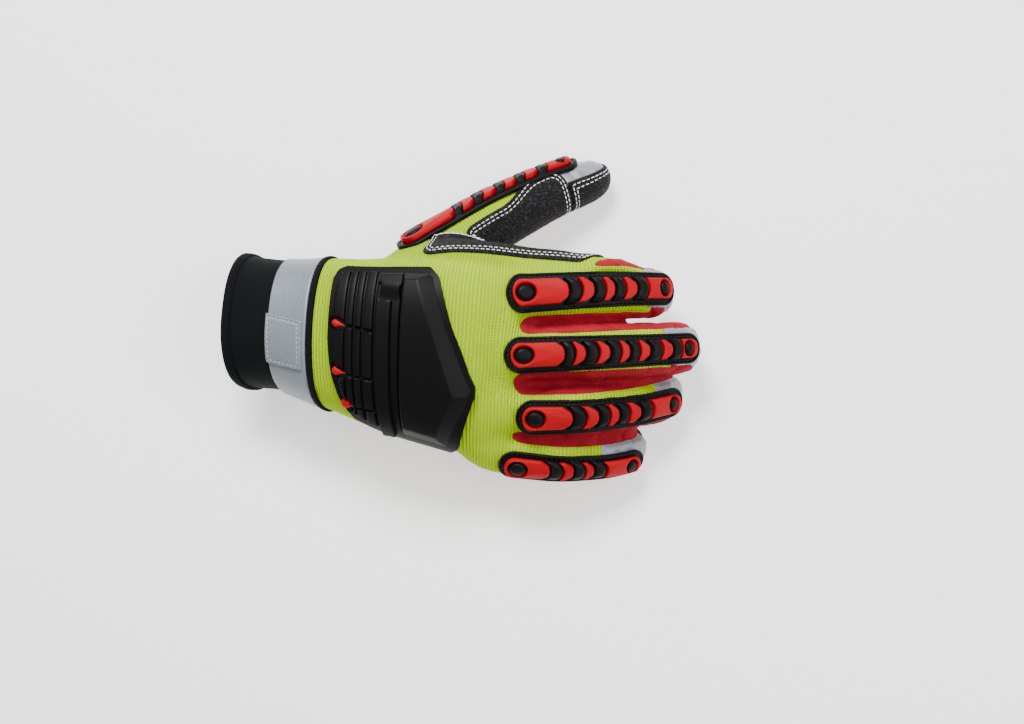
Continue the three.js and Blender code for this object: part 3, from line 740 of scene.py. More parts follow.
# Each fingertip patch's length, half width and highest place
FINGERTIPS = {"index": (28, 11.8, -2), "middle": (28, 11.8, -2), "ring": (28, 9.6, -2),
              "little": (28, 11.8, -2), "thumb": (34, 17, 5.0)}


def patch_fields(f):
    def patch(name, start, end, low, high, edge, reach, radius):
        """The depth inside a patch between two places along a path and two across, within a reach of it."""
        s, u, v, d = place_on(f, name)
        return rounded([s - start, end - s, u - low, high - u, edge(s, v), STEEP * (reach - d)], radius)

    fields = {}
    far = 999  # no limit on that side
    saddle = patch("web", -55, 43, 5, far, lambda s, v: v + 26, reach=5.5, radius=7)
    flank = patch("thumb", 72, 138.5, -far, -1, lambda s, v: 7.4 + 5.5 * after(s, (98, 26)) - v,
                  reach=3.5, radius=8)
    fields["thumb_saddle_patch"] = saddle
    fields["thumb_flank_patch"] = np.minimum(flank, -0.5 - saddle)
    for name, (size, half, top) in FINGERTIPS.items():
        start = FINGERS[name]["length"] - size
        fields[name + "_fingertip_patch"] = patch(name, start, far, -half, half, lambda s, v: top - v,
                                                  reach=3.5, radius=5)
    fields["thumb_fingertip_patch"] = np.minimum(fields["thumb_fingertip_patch"], -0.2 - flank)
    for name in ("index", "middle"):
        fields[name + "_patch"] = patch(name, 32, 62, -11.8, 11.8, lambda s, v: -5 - v, reach=6, radius=5)
    fields["palm_heel_patch"] = patch("body", -98, -50, -36, 14, lambda s, v: -10 - v, reach=6, radius=9)
    return fields


def patch_pieces(skin):
    made, threads = {}, []
    for name, field in patch_fields(skin.values).items():
        skin.values["edge"] = field
        part, _ = skin.split(field)
        part = part.biggest(200)
        edge = part.values["edge"]
        top = PATCH_EDGE + PATCH_RISE * (1 - np.exp(-np.maximum(edge, 0) / 0.8))
        surface = Mesh(part.v + part.values["n"] * THREAD_HEIGHT, part.tris, part.values)
        for line in STITCH_LINES:
            top = top - THREAD_DENT * bell((edge - line) / 0.6)
            threads += stitches(surface, edge, line)
        top = top + PATCH_LOOPS * noise(part.v, 2.2, 5)
        made[name] = part.shell(top, PATCH_UNDER)
    return made, threads


def isolines(mesh, field, level):
    """Chains of points along a level of the field, each with its normal."""
    f = field - level
    f = np.where(np.abs(f) < 1e-6, 1e-6, f)
    sign = f > 0
    tris = mesh.tris[(sign[mesh.tris].sum(1) % 3) > 0]
    links = {}
    def crossing(p, q):
        return (p, q) if p < q else (q, p)
    for tri in tris.tolist():
        sides = zip(tri, tri[1:] + tri[:1])
        ends = [crossing(p, q) for p, q in sides if sign[p] != sign[q]]
        links.setdefault(ends[0], []).append(ends[1])
        links.setdefault(ends[1], []).append(ends[0])
    seen, chains = set(), []
    starts = [k for k, x in links.items() if len(x) == 1] + list(links)
    for start in starts:
        if start in seen:
            continue
        chain, at = [start], start
        seen.add(start)
        while True:
            following = [k for k in links[at] if k not in seen]
            if not following:
                break
            at = following[0]
            seen.add(at)
            chain.append(at)
        if len(chain) > 6:
            ends = np.array(chain)
            a, b = ends[:, 0], ends[:, 1]
            t = (f[a] / (f[a] - f[b]))[:, None]
            closed = start in links[chain[-1]]
            v = mesh.v[a] * (1 - t) + mesh.v[b] * t
            n = unit(mesh.values["n"][a] * (1 - t) + mesh.values["n"][b] * t)
            if closed:
                v, n = np.vstack([v, v[:1]]), np.vstack([n, n[:1]])
            chains.append((v, n))
    return chains


def smoothed_line(v, rounds=3):
    closed = np.linalg.norm(v[0] - v[-1]) < 1e-6
    for _ in range(rounds):
        w = v.copy()
        w[1:-1] = (v[:-2] + 2 * v[1:-1] + v[2:]) / 4
        if closed:
            w[0] = w[-1] = (v[-2] + 2 * v[0] + v[1]) / 4
        v = w
    return v


# Rings of a stitch: place along it, from -1 to 1, and share of its radius
STITCH_PROFILE = ((-1, 0.25), (-0.82, 0.8), (0, 1), (0.82, 0.8), (1, 0.25))


def stitch(center, direction, normal, length, radius, sides=6):
    """One stitch of thread: a short bead with rounded ends, sunk at both ends."""
    across = np.cross(direction, normal)
    rings = []
    for share, size in STITCH_PROFILE:
        at = center + direction * share * length / 2 - normal * (0.55 * radius * share * share)
        angle = 2 * np.pi * np.arange(sides) / sides
        around = np.cos(angle)[:, None] * across + np.sin(angle)[:, None] * normal
        rings.append(at + radius * size * around)
    count = len(rings)
    v = np.vstack(rings + [center - direction * length / 2, center + direction * length / 2])
    tris = []
    for r in range(count - 1):
        for i in range(sides):
            j = (i + 1) % sides
            tris += [(r * sides + i, (r + 1) * sides + j, r * sides + j),
                     (r * sides + i, (r + 1) * sides + i, (r + 1) * sides + j)]
    a, b = count * sides, count * sides + 1
    for i in range(sides):
        j = (i + 1) % sides
        tris += [(a, i, j), (b, (count - 1) * sides + j, (count - 1) * sides + i)]
    tris = np.array(tris)
    if signed_volume(v - center, tris) < 0:
        tris = tris[:, ::-1]
    return Mesh(v, tris)


def stitches_along(v, n, pitch=STITCH_PITCH, length=STITCH_LENGTH, radius=THREAD_R):
    v = smoothed_line(v)
    far = np.concatenate([[0], np.cumsum(steps_of(v))])
    number = int(far[-1] / pitch)
    made = []
    for i in range(number):
        s = (i + 0.5) * far[-1] / number
        at, ahead = (np.array([np.interp(x, far, v[:, k]) for k in range(3)]) for x in (s - 0.6, s + 0.6))
        normal = unit(np.array([np.interp(s, far, n[:, k]) for k in range(3)]))
        direction = ahead - at
        if np.linalg.norm(direction) < 0.3:
            continue
        made.append(stitch((at + ahead) / 2, unit(direction), normal, length, radius))
    return made


def stitches(surface, field, level):
    made = []
    for v, n in isolines(surface, field, level):
        if steps_of(v).sum() > SHORTEST_SEAM:
            made += stitches_along(v, n)
    return made


def sewn(point, line, height, above, pitch, length, radius):
    """Stitches on a line of places at a height, which stand towards the places above."""
    along, across = line.T
    v = point(along, across, np.full(len(line), height))
    n = unit(point(along, across, np.full(len(line), above)) - v)
    return stitches_along(v, n, pitch, length, radius)


# Places on the cuff, the hand's back and a finger's back, at a height over their ovals

def over_oval(path, t, across, height):
    at, _, side, up, size = path.read(t)
    half, tall = size[..., 0], size[..., 1]
    share = np.clip(across / half, -1, 1)
    rise = (1 - np.abs(share) ** path.power) ** (1 / path.power)
    return at + side * ((half + height) * share)[..., None] + up * ((tall + height) * rise)[..., None]


def on_back(x, across, height):
    return over_oval(BODY_PATH, x, across, height)


def round_oval(path, t, angle, height):
    """Places all round an oval, by an angle that starts at the thumb side."""
    at, _, side, up, size = path.read(t)
    c, s = np.cos(angle), np.sin(angle)
    tall = np.where(s > 0, size[..., 1], size[..., 2])
    power = 2 / path.power
    x = (size[..., 0] + height) * np.sign(c) * np.abs(c) ** power
    y = (tall + height) * np.sign(s) * np.abs(s) ** power
    return at + side * x[..., None] + up * y[..., None]


def on_cuff(t, angle, height):
    p = round_oval(BODY_PATH, t, angle, height)
    p[..., 2] = np.maximum(p[..., 2], PATCH - height)
    return p


class GuardPath(Path):
    """A finger's sections with the rounded tip drawn in, for what lies on its back."""

    def __init__(self, path, finger):
        self.__dict__.update(path.__dict__)
        into = np.clip((self.stops - (finger["length"] - TIP_ROUND)) / TIP_ROUND, 0, 1)
        shrink = np.maximum(0.02, (1 - into ** TIP_POWER) ** (1 / TIP_POWER))
        self.sizes = self.sizes * shrink[:, None]
        self.table = np.hstack([self.at, self.along, self.across, self.up, self.sizes])


# Guards on the fingers

# Heights over the finger: the lip, the groove inside it, the floor, the ribs, the domes and the underside
LIP = 2.75
GROOVE = 1.7
FLOOR = 1.5
GUARD_RIB = 4.95
DOME_TOP = 5.4
GUARD_BASE = 0.35
# How far inside the outline the lip and the groove end, and over what length
LIP_END = (1.35, 0.35)
GROOVE_END = (2.45, 0.3)
# The red rubber's height at its edge, what it gains over its bevel, and the bevel's width
RED_EDGE = 2.3
RED_RISE = 1.9
RED_BEVEL = 0.9
# How far a rib bows towards the fingertip, its half width, and the width of the black border round the red
BOW = 7.6
RIB_HALF = 2.55
BORDER = 3.5
TAPER = 0.16  # share of its width that a guard loses towards the fingertip
# Steps of the grids along the black and the red rubber and past a dome, and their places across
GUARD_STEP = 0.43
RED_STEP = 0.42
DOME_STEP = 0.3
GUARD_COLUMNS = 45
RED_COLUMNS = 48
# The share of its width that each guard keeps, how far it sits aside, and how far its root stands up
GUARD_FIT = dict(index=(0.97, 0.4, 1.5), middle=(0.92, 0, 0.6), ring=(0.93, 0, 0), little=(0.88, -1.6, 0),
                 thumb=(1, 0, 0))


def side_of(guard, s):
    """The guard's half width, which is smaller towards the fingertip."""
    t = (s - guard["start"]) / (guard["end"] - guard["start"])
    return guard["half"] * (1 - TAPER * smooth(t))


def stadium(guard, s, a, inset=0.0):
    """How far inside the guard's outline a place is."""
    half = side_of(guard, s) - inset
    start, end = guard["start"] + inset, guard["end"] - inset
    nearest = np.clip(s, start + half, end - half)
    return half - np.hypot(s - nearest, a)


def guard_half(guard, s):
    half = side_of(guard, s)
    to_end = np.minimum(s - guard["start"], guard["end"] - s)
    return half * arch(to_end / half)


def bowed(guard, s, a):
    return s - BOW * (1 - (a / guard["half"]) ** 2) + BOW * 0.6


def past_rib(guard, s, a):
    """Distance past the nearest rib's middle, along the guard."""
    at = bowed(guard, s, a)
    ribs = guard["first"] + guard["step"] * np.arange(guard["ribs"])
    return at - ribs[np.abs(at[..., None] - ribs).argmin(-1)]


# Rings of a dome: share of its width and share of its height
DOME_PROFILE = ((1.0, 0.0), (1.0, 0.35), (0.97, 0.6), (0.88, 0.8), (0.72, 0.93), (0.48, 0.99), (0.2, 1.0),
                (0.02, 1.0))


def dome_mesh(point, at, length, width):
    """A smooth oval button on the floor of a guard."""
    turn = np.linspace(0, 2 * np.pi, 41)[:-1]
    rings = []
    for share, rise in DOME_PROFILE:
        s, a = at + length * share * np.cos(turn), width * share * np.sin(turn)
        rings.append(point(s, a, np.full(len(turn), mixed(FLOOR, DOME_TOP, rise))))
    return ring_mesh(rings)


def guard_pieces(name):
    guard = GUARDS[name]
    path = GuardPath(FINGER_PATHS[name], FINGERS[name])
    narrow, aside, lift = GUARD_FIT[name]
    root = lambda s: lift * (1 - after(s, (guard["start"], 14)))
    point = lambda s, a, h: over_oval(path, s, a * narrow + aside, h + root(s))
    span = guard["end"] - guard["start"]
    turn = np.linspace(0, np.pi / 2, 14)
    near = guard["half"] * (1 - np.cos(turn))
    middle = np.arange(near[-1] + GUARD_STEP, span - near[-1], GUARD_STEP)
    s = guard["start"] + np.concatenate([[0.02], near[1:], middle, span - near[::-1][:-1], [span - 0.02]])
    S, W = grid(np.unique(np.round(s, 4)), np.linspace(-1, 1, GUARD_COLUMNS))
    A = W * guard_half(guard, S)
    d = stadium(guard, S, A)
    off = past_rib(guard, S, A)
    first, last = guard["first"], guard["first"] + guard["step"] * (guard["ribs"] - 1)
    lip = mixed(0.7, LIP, arch(d / 0.7))
    black = np.where(d < LIP_END[0], lip, mixed(LIP, GROOVE, after(d, LIP_END)))
    black = np.where(d > GROOVE_END[0], mixed(GROOVE, FLOOR, after(d, GROOVE_END)), black)
    rib = np.clip(1 - (np.abs(off) / RIB_HALF) ** 8, 0, 1) ** 0.5
    taper = after(d, (BORDER - 0.9, 1.2)) * (0.72 + 0.28 * after(d, (BORDER, 2.6)))
    rib_top = mixed(FLOOR, GUARD_RIB, taper * (0.93 + 0.07 * np.cos(off / RIB_HALF * 2.2)))
    black = np.maximum(black, np.where(rib > 0, mixed(FLOOR, rib_top, rib), 0))
    domes = dome_places(guard)
    rubber = joined([relief(point, S, A, black, GUARD_BASE), *[dome_mesh(point, *dome) for dome in domes]])

    step = RED_STEP
    near, far = (np.arange(at - 6, at + 6, DOME_STEP) for at, _, _ in domes)
    s = np.concatenate([np.arange(guard["start"] + 1.6, near[0] - 0.2, step), near,
                        np.arange(near[-1] + step, far[0] - 0.2, step), far,
                        np.arange(far[-1] + step, guard["end"], step)])
    s = s[s < guard["end"] - 1.4]
    S, A = grid(s, np.linspace(-guard["half"] + 2.6, guard["half"] - 2.6, RED_COLUMNS))

    def red_depth(S, A):
        off = past_rib(guard, S, A)
        half = side_of(guard, S) - BORDER
        corner = 0.8 * np.maximum(0, np.abs(A) - (half - 2.6))
        at = bowed(guard, S, A)
        flat_end = first - RIB_HALF - 0.5 - (S - BOW * 0.45)
        start_pad = np.minimum(flat_end, first - RIB_HALF - 0.3 - at) - corner
        end_pad = at - (last + RIB_HALF + 0.25)
        window = np.where(off > 0, off - RIB_HALF - 0.2, -off - RIB_HALF - 0.55 - corner)
        inside = np.where(S < first, np.where(at < first, start_pad, window), window)
        inside = np.where(at > last, end_pad, inside)
        inside = np.minimum(inside, stadium(guard, S, A, BORDER))
        for middle, length, width in domes:
            r = np.hypot((S - middle) / length, A / width)
            inside = np.minimum(inside, (r - 1.09) * min(length, width))
        return inside

    S, A, cells = fitted(S, A, red_depth(S, A))
    inside = red_depth(S, A)
    away = np.where(S < first, first - S, np.where(S > last, S - last, 0.0))
    slope = np.clip((away - 5) / (first - guard["start"] - 12), 0, 1)
    crest = (0.08 + 0.5 * slope) * guard["half"]
    roof = np.clip((np.abs(A) - crest) / (guard["half"] - BORDER - crest), 0, 1)
    crown = np.where(away > 0, 0.9 * (1 - roof), 0.5 * (1 - (A / guard["half"]) ** 2))
    top = RED_EDGE + RED_RISE * arch(inside / RED_BEVEL) + crown
    red = relief(point, S, A, top, FLOOR - 0.25, cells)
    return rubber, red, guard_thread(guard, point)


def dome_places(guard):
    """Where along the guard its two domes are, and their half lengths and half widths."""
    return ((guard["start"] + 10.8, 4.9, 3.5), (guard["end"] - 9.4, 2.8, 3.1))


def guard_thread(guard, point):
    """Black stitches in the groove inside the lip."""
    inset = 1.75
    half = lambda s: side_of(guard, s) - inset
    start, end = guard["start"] + inset, guard["end"] - inset
    line = []
    for side in (1, -1):
        s0, s1 = start + half(start), end - half(end)
        run = np.linspace(s0, s1, 60)[::side]
        line += [(s, side * half(s)) for s in run]
        center, r = (s1, half(s1)) if side > 0 else (s0, half(s0))
        for angle in np.linspace(0, np.pi, 14)[1:-1]:
            line.append((center + side * r * np.sin(angle), side * r * np.cos(angle)))
    line.append(line[0])
    return sewn(point, np.array(line), height=GROOVE + 0.15, above=3.0, pitch=2.6, length=1.9, radius=0.3)


# The panel on the back of the hand

def panel_edges(x):
    fine = np.arange(-100, -17, 0.25)
    low, high = (np.interp(fine, PANEL[:, 0], PANEL[:, k]) for k in (1, 2))
    kernel = np.hanning(13) / np.hanning(13).sum()
    pad = len(kernel) // 2
    low, high = (np.convolve(np.pad(e, pad, "edge"), kernel, "valid") for e in (low, high))
    return np.interp(x, fine, low), np.interp(x, fine, high)


def outline_depth(x, u, outline):
    """Distance from the nearest side of a closed outline."""
    best = np.full(x.shape, 99.0)
    for (ax, au), (bx, bu) in zip(outline, np.roll(outline, -1, 0)):
        dx, du = bx - ax, bu - au
        t = np.clip(((x - ax) * dx + (u - au) * du) / (dx * dx + du * du + 1e-9), 0, 1)
        best = np.minimum(best, np.hypot(x - ax - t * dx, u - au - t * du))
    return best


def within(x, u, limits):
    """The depth inside a rectangle."""
    start, end, low, high = limits
    return least(x - start, end - x, u - low, high - u)


def line_depth(x, u, a, b):
    """Distance from a line, positive on the panel's side."""
    (ax, au), (bx, bu) = a, b
    return ((x - ax) * (bu - au) - (u - au) * (bx - ax)) / math.hypot(bx - ax, bu - au)


# The panel's ends along the hand, and the step and the number of places across of its grid
PANEL_ENDS = (-96.4, -20.5)
PANEL_STEP = 0.56
PANEL_COLUMNS = 156
# The panel's slats along the hand, the grooves that cross them, and the middles of the drops
SLATS = (-86.65, -82.15, -77.45, -71.3)
SLAT_CROSSINGS = (5.5, -18.5, -34)
DROP_X = (-91.0, -90.6, -87.6)
DROP_HALF = 2.2
# Heights over the hand: the panel's rim and the floor of the well that its bar stands in
PANEL_RIM = 2.8
WELL_FLOOR = 3.1
# How high over its surroundings the slats, the raised field, the well's edge, the bar and the block stand
SLAT_RISE = 1.8
FIELD_RISE = 3.3
EDGE_RISE = 1.9
BAR_RISE = 2.6
BLOCK_RISE = 1.7
# How deep the grooves between slats are
SLAT_CUT = 1.55
# The well's start and end along the hand, and the inset of the thread along the panel's edge
WELL = (-70.9, -58.9)
THREAD_INSET = 1.9
# The bar in the well and the block beside it: start, end, low side, high side
BAR = (-70.3, -62.9, -44.5, 22)
BLOCK = (-69.3, -59.6, 23.4, 31.5)
# The bevels of the raised field: two points of each edge, and the bevel's width
FACETS = (
    ((-46, 43.5), (-85, 37), 5.5), ((-20.5, -11.5), (-40.5, 39.5), 8.5),
    ((-33.5, -49.4), (-20.5, -20.0), 7.0), ((-68, -46.4), (-35, -49.4), 6.0),
)


def panel_top(x, u, d):
    h = mixed(0.9, PANEL_RIM, arch(d / 0.9)) - 0.45 * bell((d - THREAD_INSET) / 0.45)
    shoulder = smooth((d - 3.0) / 1.1)
    slat = PANEL_RIM + SLAT_RISE * shoulder
    cut = np.zeros_like(x)
    for at in SLATS:
        cut = np.maximum(cut, np.clip((0.75 - np.abs(x - at)) / 0.3, 0, 1) * smooth((d - 3.2) / 0.8))
    for at, drop_x in zip(SLAT_CROSSINGS, DROP_X):
        along = np.clip((0.8 - np.abs(u - at)) / 0.3, 0, 1) * (x > SLATS[0] - 1.0) * (x < -71)
        cut = np.maximum(cut, along)
        r = np.hypot((x - drop_x) / 4.3, (u - at) / 3.4)
        cut = np.maximum(cut, 1.2 * np.clip((1.08 - r) / 0.16, 0, 1) * smooth((d - 0.3) / 1.4))
    nearest = np.abs(x[..., None] - np.array(SLATS)).min(-1)
    slat = slat - 0.16 * smooth(1 - (nearest - 0.75) / 1.0) * shoulder
    start, end = WELL
    h = np.where(x < start, np.maximum(h, slat) - SLAT_CUT * cut, h)
    facets = [(np.abs(line_depth(x, u, a, b)) - 3.2) / width for a, b, width in FACETS]
    plateau = PANEL_RIM + FIELD_RISE * np.clip(least(*facets, (x - end) / 1.3, d - 3.0), 0, 1)
    h = np.where(x > end, np.maximum(h, plateau), h)
    rim = PANEL_RIM + EDGE_RISE * smooth((d - 3.0) / 2.4)
    h = np.where((x <= end) & (x >= start), rim, h)
    well = within(x, u, (start - 0.3, end + 0.3, -46.5, 30.5))
    h = np.where(well > 0, mixed(WELL_FLOOR, h, 1 - smooth(well / 0.7)), h)
    bar = within(x, u, BAR)
    h = np.where(bar > 0, WELL_FLOOR + BAR_RISE * arch(bar / 0.55), h)
    block = within(x, u, BLOCK)
    ramp = BLOCK_RISE * smooth((u - 22.9) / 7.0) * smooth(block / 0.6 + 0.3)
    return np.where(block > 0, np.maximum(h, WELL_FLOOR + ramp), h)


def panel_pieces():
    stops = np.arange(*PANEL_ENDS, PANEL_STEP)
    steps = (*SLATS, *BAR[:2], WELL[1])
    sharp = [at + side * k for at in steps for side in (-1, 1) for k in (0.12, 0.46, 0.62, 0.8)]
    x = np.unique(np.round(np.concatenate([stops, sharp]), 2))
    x = x[np.concatenate([[True], np.diff(x) > 0.1])]
    X, W = grid(x, np.linspace(0, 1, PANEL_COLUMNS))
    low, high = panel_edges(X)
    U = low + (high - low) * W
    fine = np.linspace(*PANEL_ENDS, 90)
    low, high = panel_edges(fine)
    outline = np.vstack([np.stack([fine, high], 1), np.stack([fine, low], 1)[::-1]])
    d = outline_depth(X, U, outline)
    half = BODY_PATH.read(X)[4][..., 0]
    base = 0.2 + 0.9 * (U / half) ** 2
    rubber = relief(on_back, X, U, panel_top(X, U, d), base)
    middle = outline.mean(0)
    drops = [drop_piece(at, x) for at, x in zip(SLAT_CROSSINGS, DROP_X)]
    line = []
    for k in range(len(outline)):
        a, b = outline[k - 1], outline[(k + 1) % len(outline)]
        inwards = unit(np.array([b[1] - a[1], a[0] - b[0]]))
        if np.dot(inwards, middle - outline[k]) < 0:
            inwards = -inwards
        line.append(outline[k] + THREAD_INSET * inwards)
    line = np.array(line + line[:1])
    return rubber, drops, sewn(on_back, line, height=2.55, above=4.0, pitch=2.9, length=2.2, radius=0.3)


def drop_piece(across, middle):
    start, widest, end = middle - 3.3, middle - 0.9, middle + 4.6
    x = np.concatenate([start + (widest - start) * (1 - np.cos(np.linspace(0.08, np.pi / 2, 12))),
                        np.linspace(widest, end, 22)[1:]])
    blunt = np.sqrt(np.clip(1 - ((widest - x) / (widest - start)) ** 2, 0.002, 1))
    pointed = np.clip(1 - ((x - widest) / (end - widest)), 0.04, 1) ** 1.15
    half = DROP_HALF * np.where(x < widest, blunt, pointed)
    X, W = grid(x, np.linspace(-1, 1, 15))
    U = across + W * half[:, None]
    share = half[:, None] / DROP_HALF
    top = 2.3 + 1.5 * np.sqrt(np.clip(1 - W ** 2, 0, 1)) * share ** 0.6
    return relief(on_back, X, U, top, 1.9)


# The cuff

def tube(profile, amount, seed, sides=180):
    """A closed ring of a profile of (distance along, height) pairs, all round the cuff, with soft dents."""
    angle = 2 * np.pi * np.arange(sides) / sides
    rings = []
    for t, height in profile:
        p = on_cuff(np.full(sides, t), angle, np.full(sides, height))
        lift = amount * noise(p, 16, seed) + 0.4 * amount * noise(p, 6, seed + 1)
        rings.append(on_cuff(np.full(sides, t), angle, height + lift * (1 if height > -1 else 0.5)))
    return ring_mesh(rings, closed_along=True)


def rounded_profile(start, end, low, high, radius, step=1.2):
    """The outline of a flat band with rounded upper edges, from its start round to its underside."""
    turn = np.linspace(0, np.pi / 2, 5)
    corner = [(radius * (1 - math.cos(a)), high - radius + radius * math.sin(a)) for a in turn]
    rise = [(start + t, h) for t, h in corner]
    fall = [(end - t, h) for t, h in corner[::-1]]
    middle = [(t, high) for t in np.arange(start + radius + step, end - radius - step / 2, step)]
    under = [(t, low) for t in np.arange(end, start, -max(step, 3.0))] + [(start, low)]
    return rise + middle + fall + under


# The start and end along the cuff of the reflective band, the strap and its pull tab
BAND = (-131, -109.6)
STRAP = (-133, -119)
TAB = (-134, -118)
# Their first and last angles round the cuff, from the thumb side over the back; the cuff's radius at the tab
# and the pitch of the tab's grooves
BAND_ANGLES = (-0.266, np.pi + 0.266)
STRAP_ANGLES = (np.pi + 0.28, 1.5 * np.pi + 0.16)
TAB_ANGLES = (1.5 * np.pi + 0.18, 2 * np.pi - 0.71)
TAB_RADIUS = 32
TAB_PITCH = 3.2
# The label's start and end along the cuff and its low and high side across, and its thread's inset
LABEL = (-132.0, -111.9, -23.6, 1.8)
LABEL_INSET = 1.7


def cuff_pieces():
    made = {}
    body = rounded_profile(RIM_X, WRIST_X - 0.4, low=-3.2, high=0.0, radius=0.8)
    made["cuff"] = tube(body, 0.3, 11)
    hem = rounded_profile(RIM_X + 0.05, RIM_X + 5.0, low=0.0, high=1.5, radius=0.9, step=0.5)
    hem = [(t, h - 0.6 * bell((t - RIM_X - 3.6) / 0.45) if h > 0.5 else h) for t, h in hem]
    made["cuff_hem"] = tube(hem, 0.08, 12)
    binding = rounded_profile(WRIST_X - 3.2, WRIST_X - 0.3, low=0.0, high=1.55, radius=0.85, step=0.5)
    made["wrist_binding"] = tube(binding, 0.05, 13)

    start, end = BAND
    t = np.concatenate([[start, start + 0.1, start + 0.4], np.arange(start + 0.8, end - 0.6, 0.8),
                        [end - 0.3, end - 0.1, end]])
    T, A = grid(t, np.linspace(*BAND_ANGLES, 150))
    rim = np.minimum(T - start, end - T)
    top = 0.55 + 0.65 * arch(rim / 0.4) + 0.12 * noise(on_cuff(T, A, 0 * T), 14, 3)
    made["cuff_band"] = relief(on_cuff, T, A, top, 0.15)

    start, end, low, high = LABEL
    T, U = grid(np.arange(start, end + 0.21, 0.35), np.arange(low, high + 0.15, 0.35))
    d = rounded([T - start, end - T, U - low, high - U], 1.2)
    top = 1.6 + 0.75 * arch(d / 0.6) - 0.3 * bell((d - LABEL_INSET) / 0.5)
    made["cuff_label"] = relief(on_back, T, U, top, 1.15, d[:-1, :-1] > -0.4)
    start, end, low, high = start + LABEL_INSET, end - LABEL_INSET, low + LABEL_INSET, high - LABEL_INSET
    corners = [(start, low), (end, low), (end, high), (start, high), (start, low)]
    sides = [np.linspace(a, b, 20)[(k > 0):] for k, (a, b) in enumerate(zip(corners[:-1], corners[1:]))]
    label_thread = sewn(on_back, np.vstack(sides), height=2.2, above=4.0, pitch=2.6, length=1.7, radius=0.28)

    start, end = STRAP
    T, A = grid(np.arange(start, end + 0.01, 0.5), np.linspace(*STRAP_ANGLES, 90))
    rim = least(T - start, end - T, 0 * T + 2)
    top = 1.9 + 0.9 * arch(rim / 0.8) - 0.35 * bell((rim - 1.6) / 0.35)
    made["closure_strap"] = relief(on_cuff, T, A, top, 0.15)

    start, end = TAB
    T, A = grid(np.arange(start, end + 0.01, 0.4), np.linspace(*TAB_ANGLES, 110))
    ends = np.minimum(A - TAB_ANGLES[0], TAB_ANGLES[1] - A) * TAB_RADIUS
    d = rounded([T - start, end - T, ends], 3)
    grooves = np.cos((A - TAB_ANGLES[0]) * TAB_RADIUS / TAB_PITCH * 2 * np.pi)
    top = 2.2 + 1.9 * arch(d / 1.4) - 0.6 * np.clip(grooves, 0, 1) * smooth((d - 2.2) / 0.8)
    made["strap_tab"] = relief(on_cuff, T, A, top, 0.15, d[:-1, :-1] > -0.5)
    return made, label_thread


# Materials

class Graph:
    """A material with its shader, and short ways to add nodes to it."""

    def __init__(self, name, color, roughness, specular=0.5):
        self.material = bpy.data.materials.new(name)
        self.material.use_nodes = True
        self.nodes = self.material.node_tree.nodes
        self.shader = self.nodes["Principled BSDF"]
        self.set("Base Color", (*color, 1))
        self.set("Roughness", roughness)
        self.set("Specular IOR Level", specular)
        self.material.diffuse_color = (*color, 1)

    def set(self, key, value):
        self.put(self.shader.inputs[key], value)

    def put(self, socket, value):
        if isinstance(value, bpy.types.NodeSocket):
            self.material.node_tree.links.new(value, socket)
        else:
            socket.default_value = value

    def math(self, operation, a, b=0.0, c=0.0):
        node = self.nodes.new("ShaderNodeMath")
        node.operation = operation
        for socket, value in zip(node.inputs, (a, b, c)):
            self.put(socket, value)
        return node.outputs[0]

    def attribute(self, name):
        node = self.nodes.new("ShaderNodeAttribute")
        node.attribute_name = name
        return node.outputs["Fac"]

    def texture(self, kind, scale):
        place = self.nodes.new("ShaderNodeTexCoord").outputs["Object"]
        node = self.nodes.new(kind)
        self.put(node.inputs["Vector"], place)
        node.inputs["Scale"].default_value = scale
        return node

    def noise(self, scale, detail=2.0):
        node = self.texture("ShaderNodeTexNoise", scale)
        node.inputs["Detail"].default_value = detail
        return node.outputs[0]

    def cells(self, scale):
        return self.texture("ShaderNodeTexVoronoi", scale).outputs["Distance"]

    def mix(self, share, a, b):
        node = self.nodes.new("ShaderNodeMix")
        node.data_type = "RGBA"
        self.put(node.inputs[0], share)
        for socket, value in ((node.inputs[6], a), (node.inputs[7], b)):
            self.put(socket, (*value, 1) if isinstance(value, tuple) else value)
        return node.outputs[2]

    def wave(self, value, pitch):
        turn = self.math("MULTIPLY", value, 2 * math.pi / pitch)
        return self.math("MULTIPLY_ADD", self.math("SINE", turn), 0.5, 0.5)

    def bump(self, height, distance):
        node = self.nodes.new("ShaderNodeBump")
        node.inputs["Distance"].default_value = distance
        self.put(node.inputs["Height"], height)
        self.set("Normal", node.outputs[0])


# The knit's ribs and loops, in millimetres
RIB_PITCH = 1.75
LOOP_PITCH = 0.85


def knit():
    g = Graph("knit", (0.50, 0.70, 0.01), 0.85, 0.08)
    rib = g.wave(g.attribute("rib"), RIB_PITCH)
    loops = g.wave(g.attribute("cross"), LOOP_PITCH)
    height = g.math("MULTIPLY_ADD", loops, 0.28, rib)
    # Painted shade: the knit's colour is made darker in the valleys between its ribs, where shade falls.
    groove_shade_share = g.math("MULTIPLY", g.math("SUBTRACT", 1.0, rib), 0.7)
    painted_groove_shade = g.mix(groove_shade_share, (0.44, 0.66, 0.0), (0.18, 0.35, 0.0))
    g.set("Base Color", g.mix(g.math("MULTIPLY", g.noise(55.0), 0.35), painted_groove_shade, (0.50, 0.72, 0.0)))
    g.bump(height, 0.0006)
    return g.material


def suede():
    g = Graph("suede", (0.40, 0.012, 0.018), 0.9, 0.15)
    nap = g.noise(260.0, 4.0)
    g.set("Base Color", g.mix(nap, (0.17, 0.0, 0.002), (0.29, 0.001, 0.004)))
    g.bump(nap, 0.0004)
    return g.material


def sidewall():
    g = Graph("sidewall", (0.51, 0.017, 0.032), 0.75, 0.15)
    weave = g.math("MULTIPLY", g.wave(g.attribute("rib"), 1.0), g.wave(g.attribute("cross"), 0.9))
    g.set("Base Color", g.mix(g.noise(120.0), (0.24, 0.003, 0.012), (0.37, 0.010, 0.024)))
    g.bump(weave, 0.0002)
    return g.material


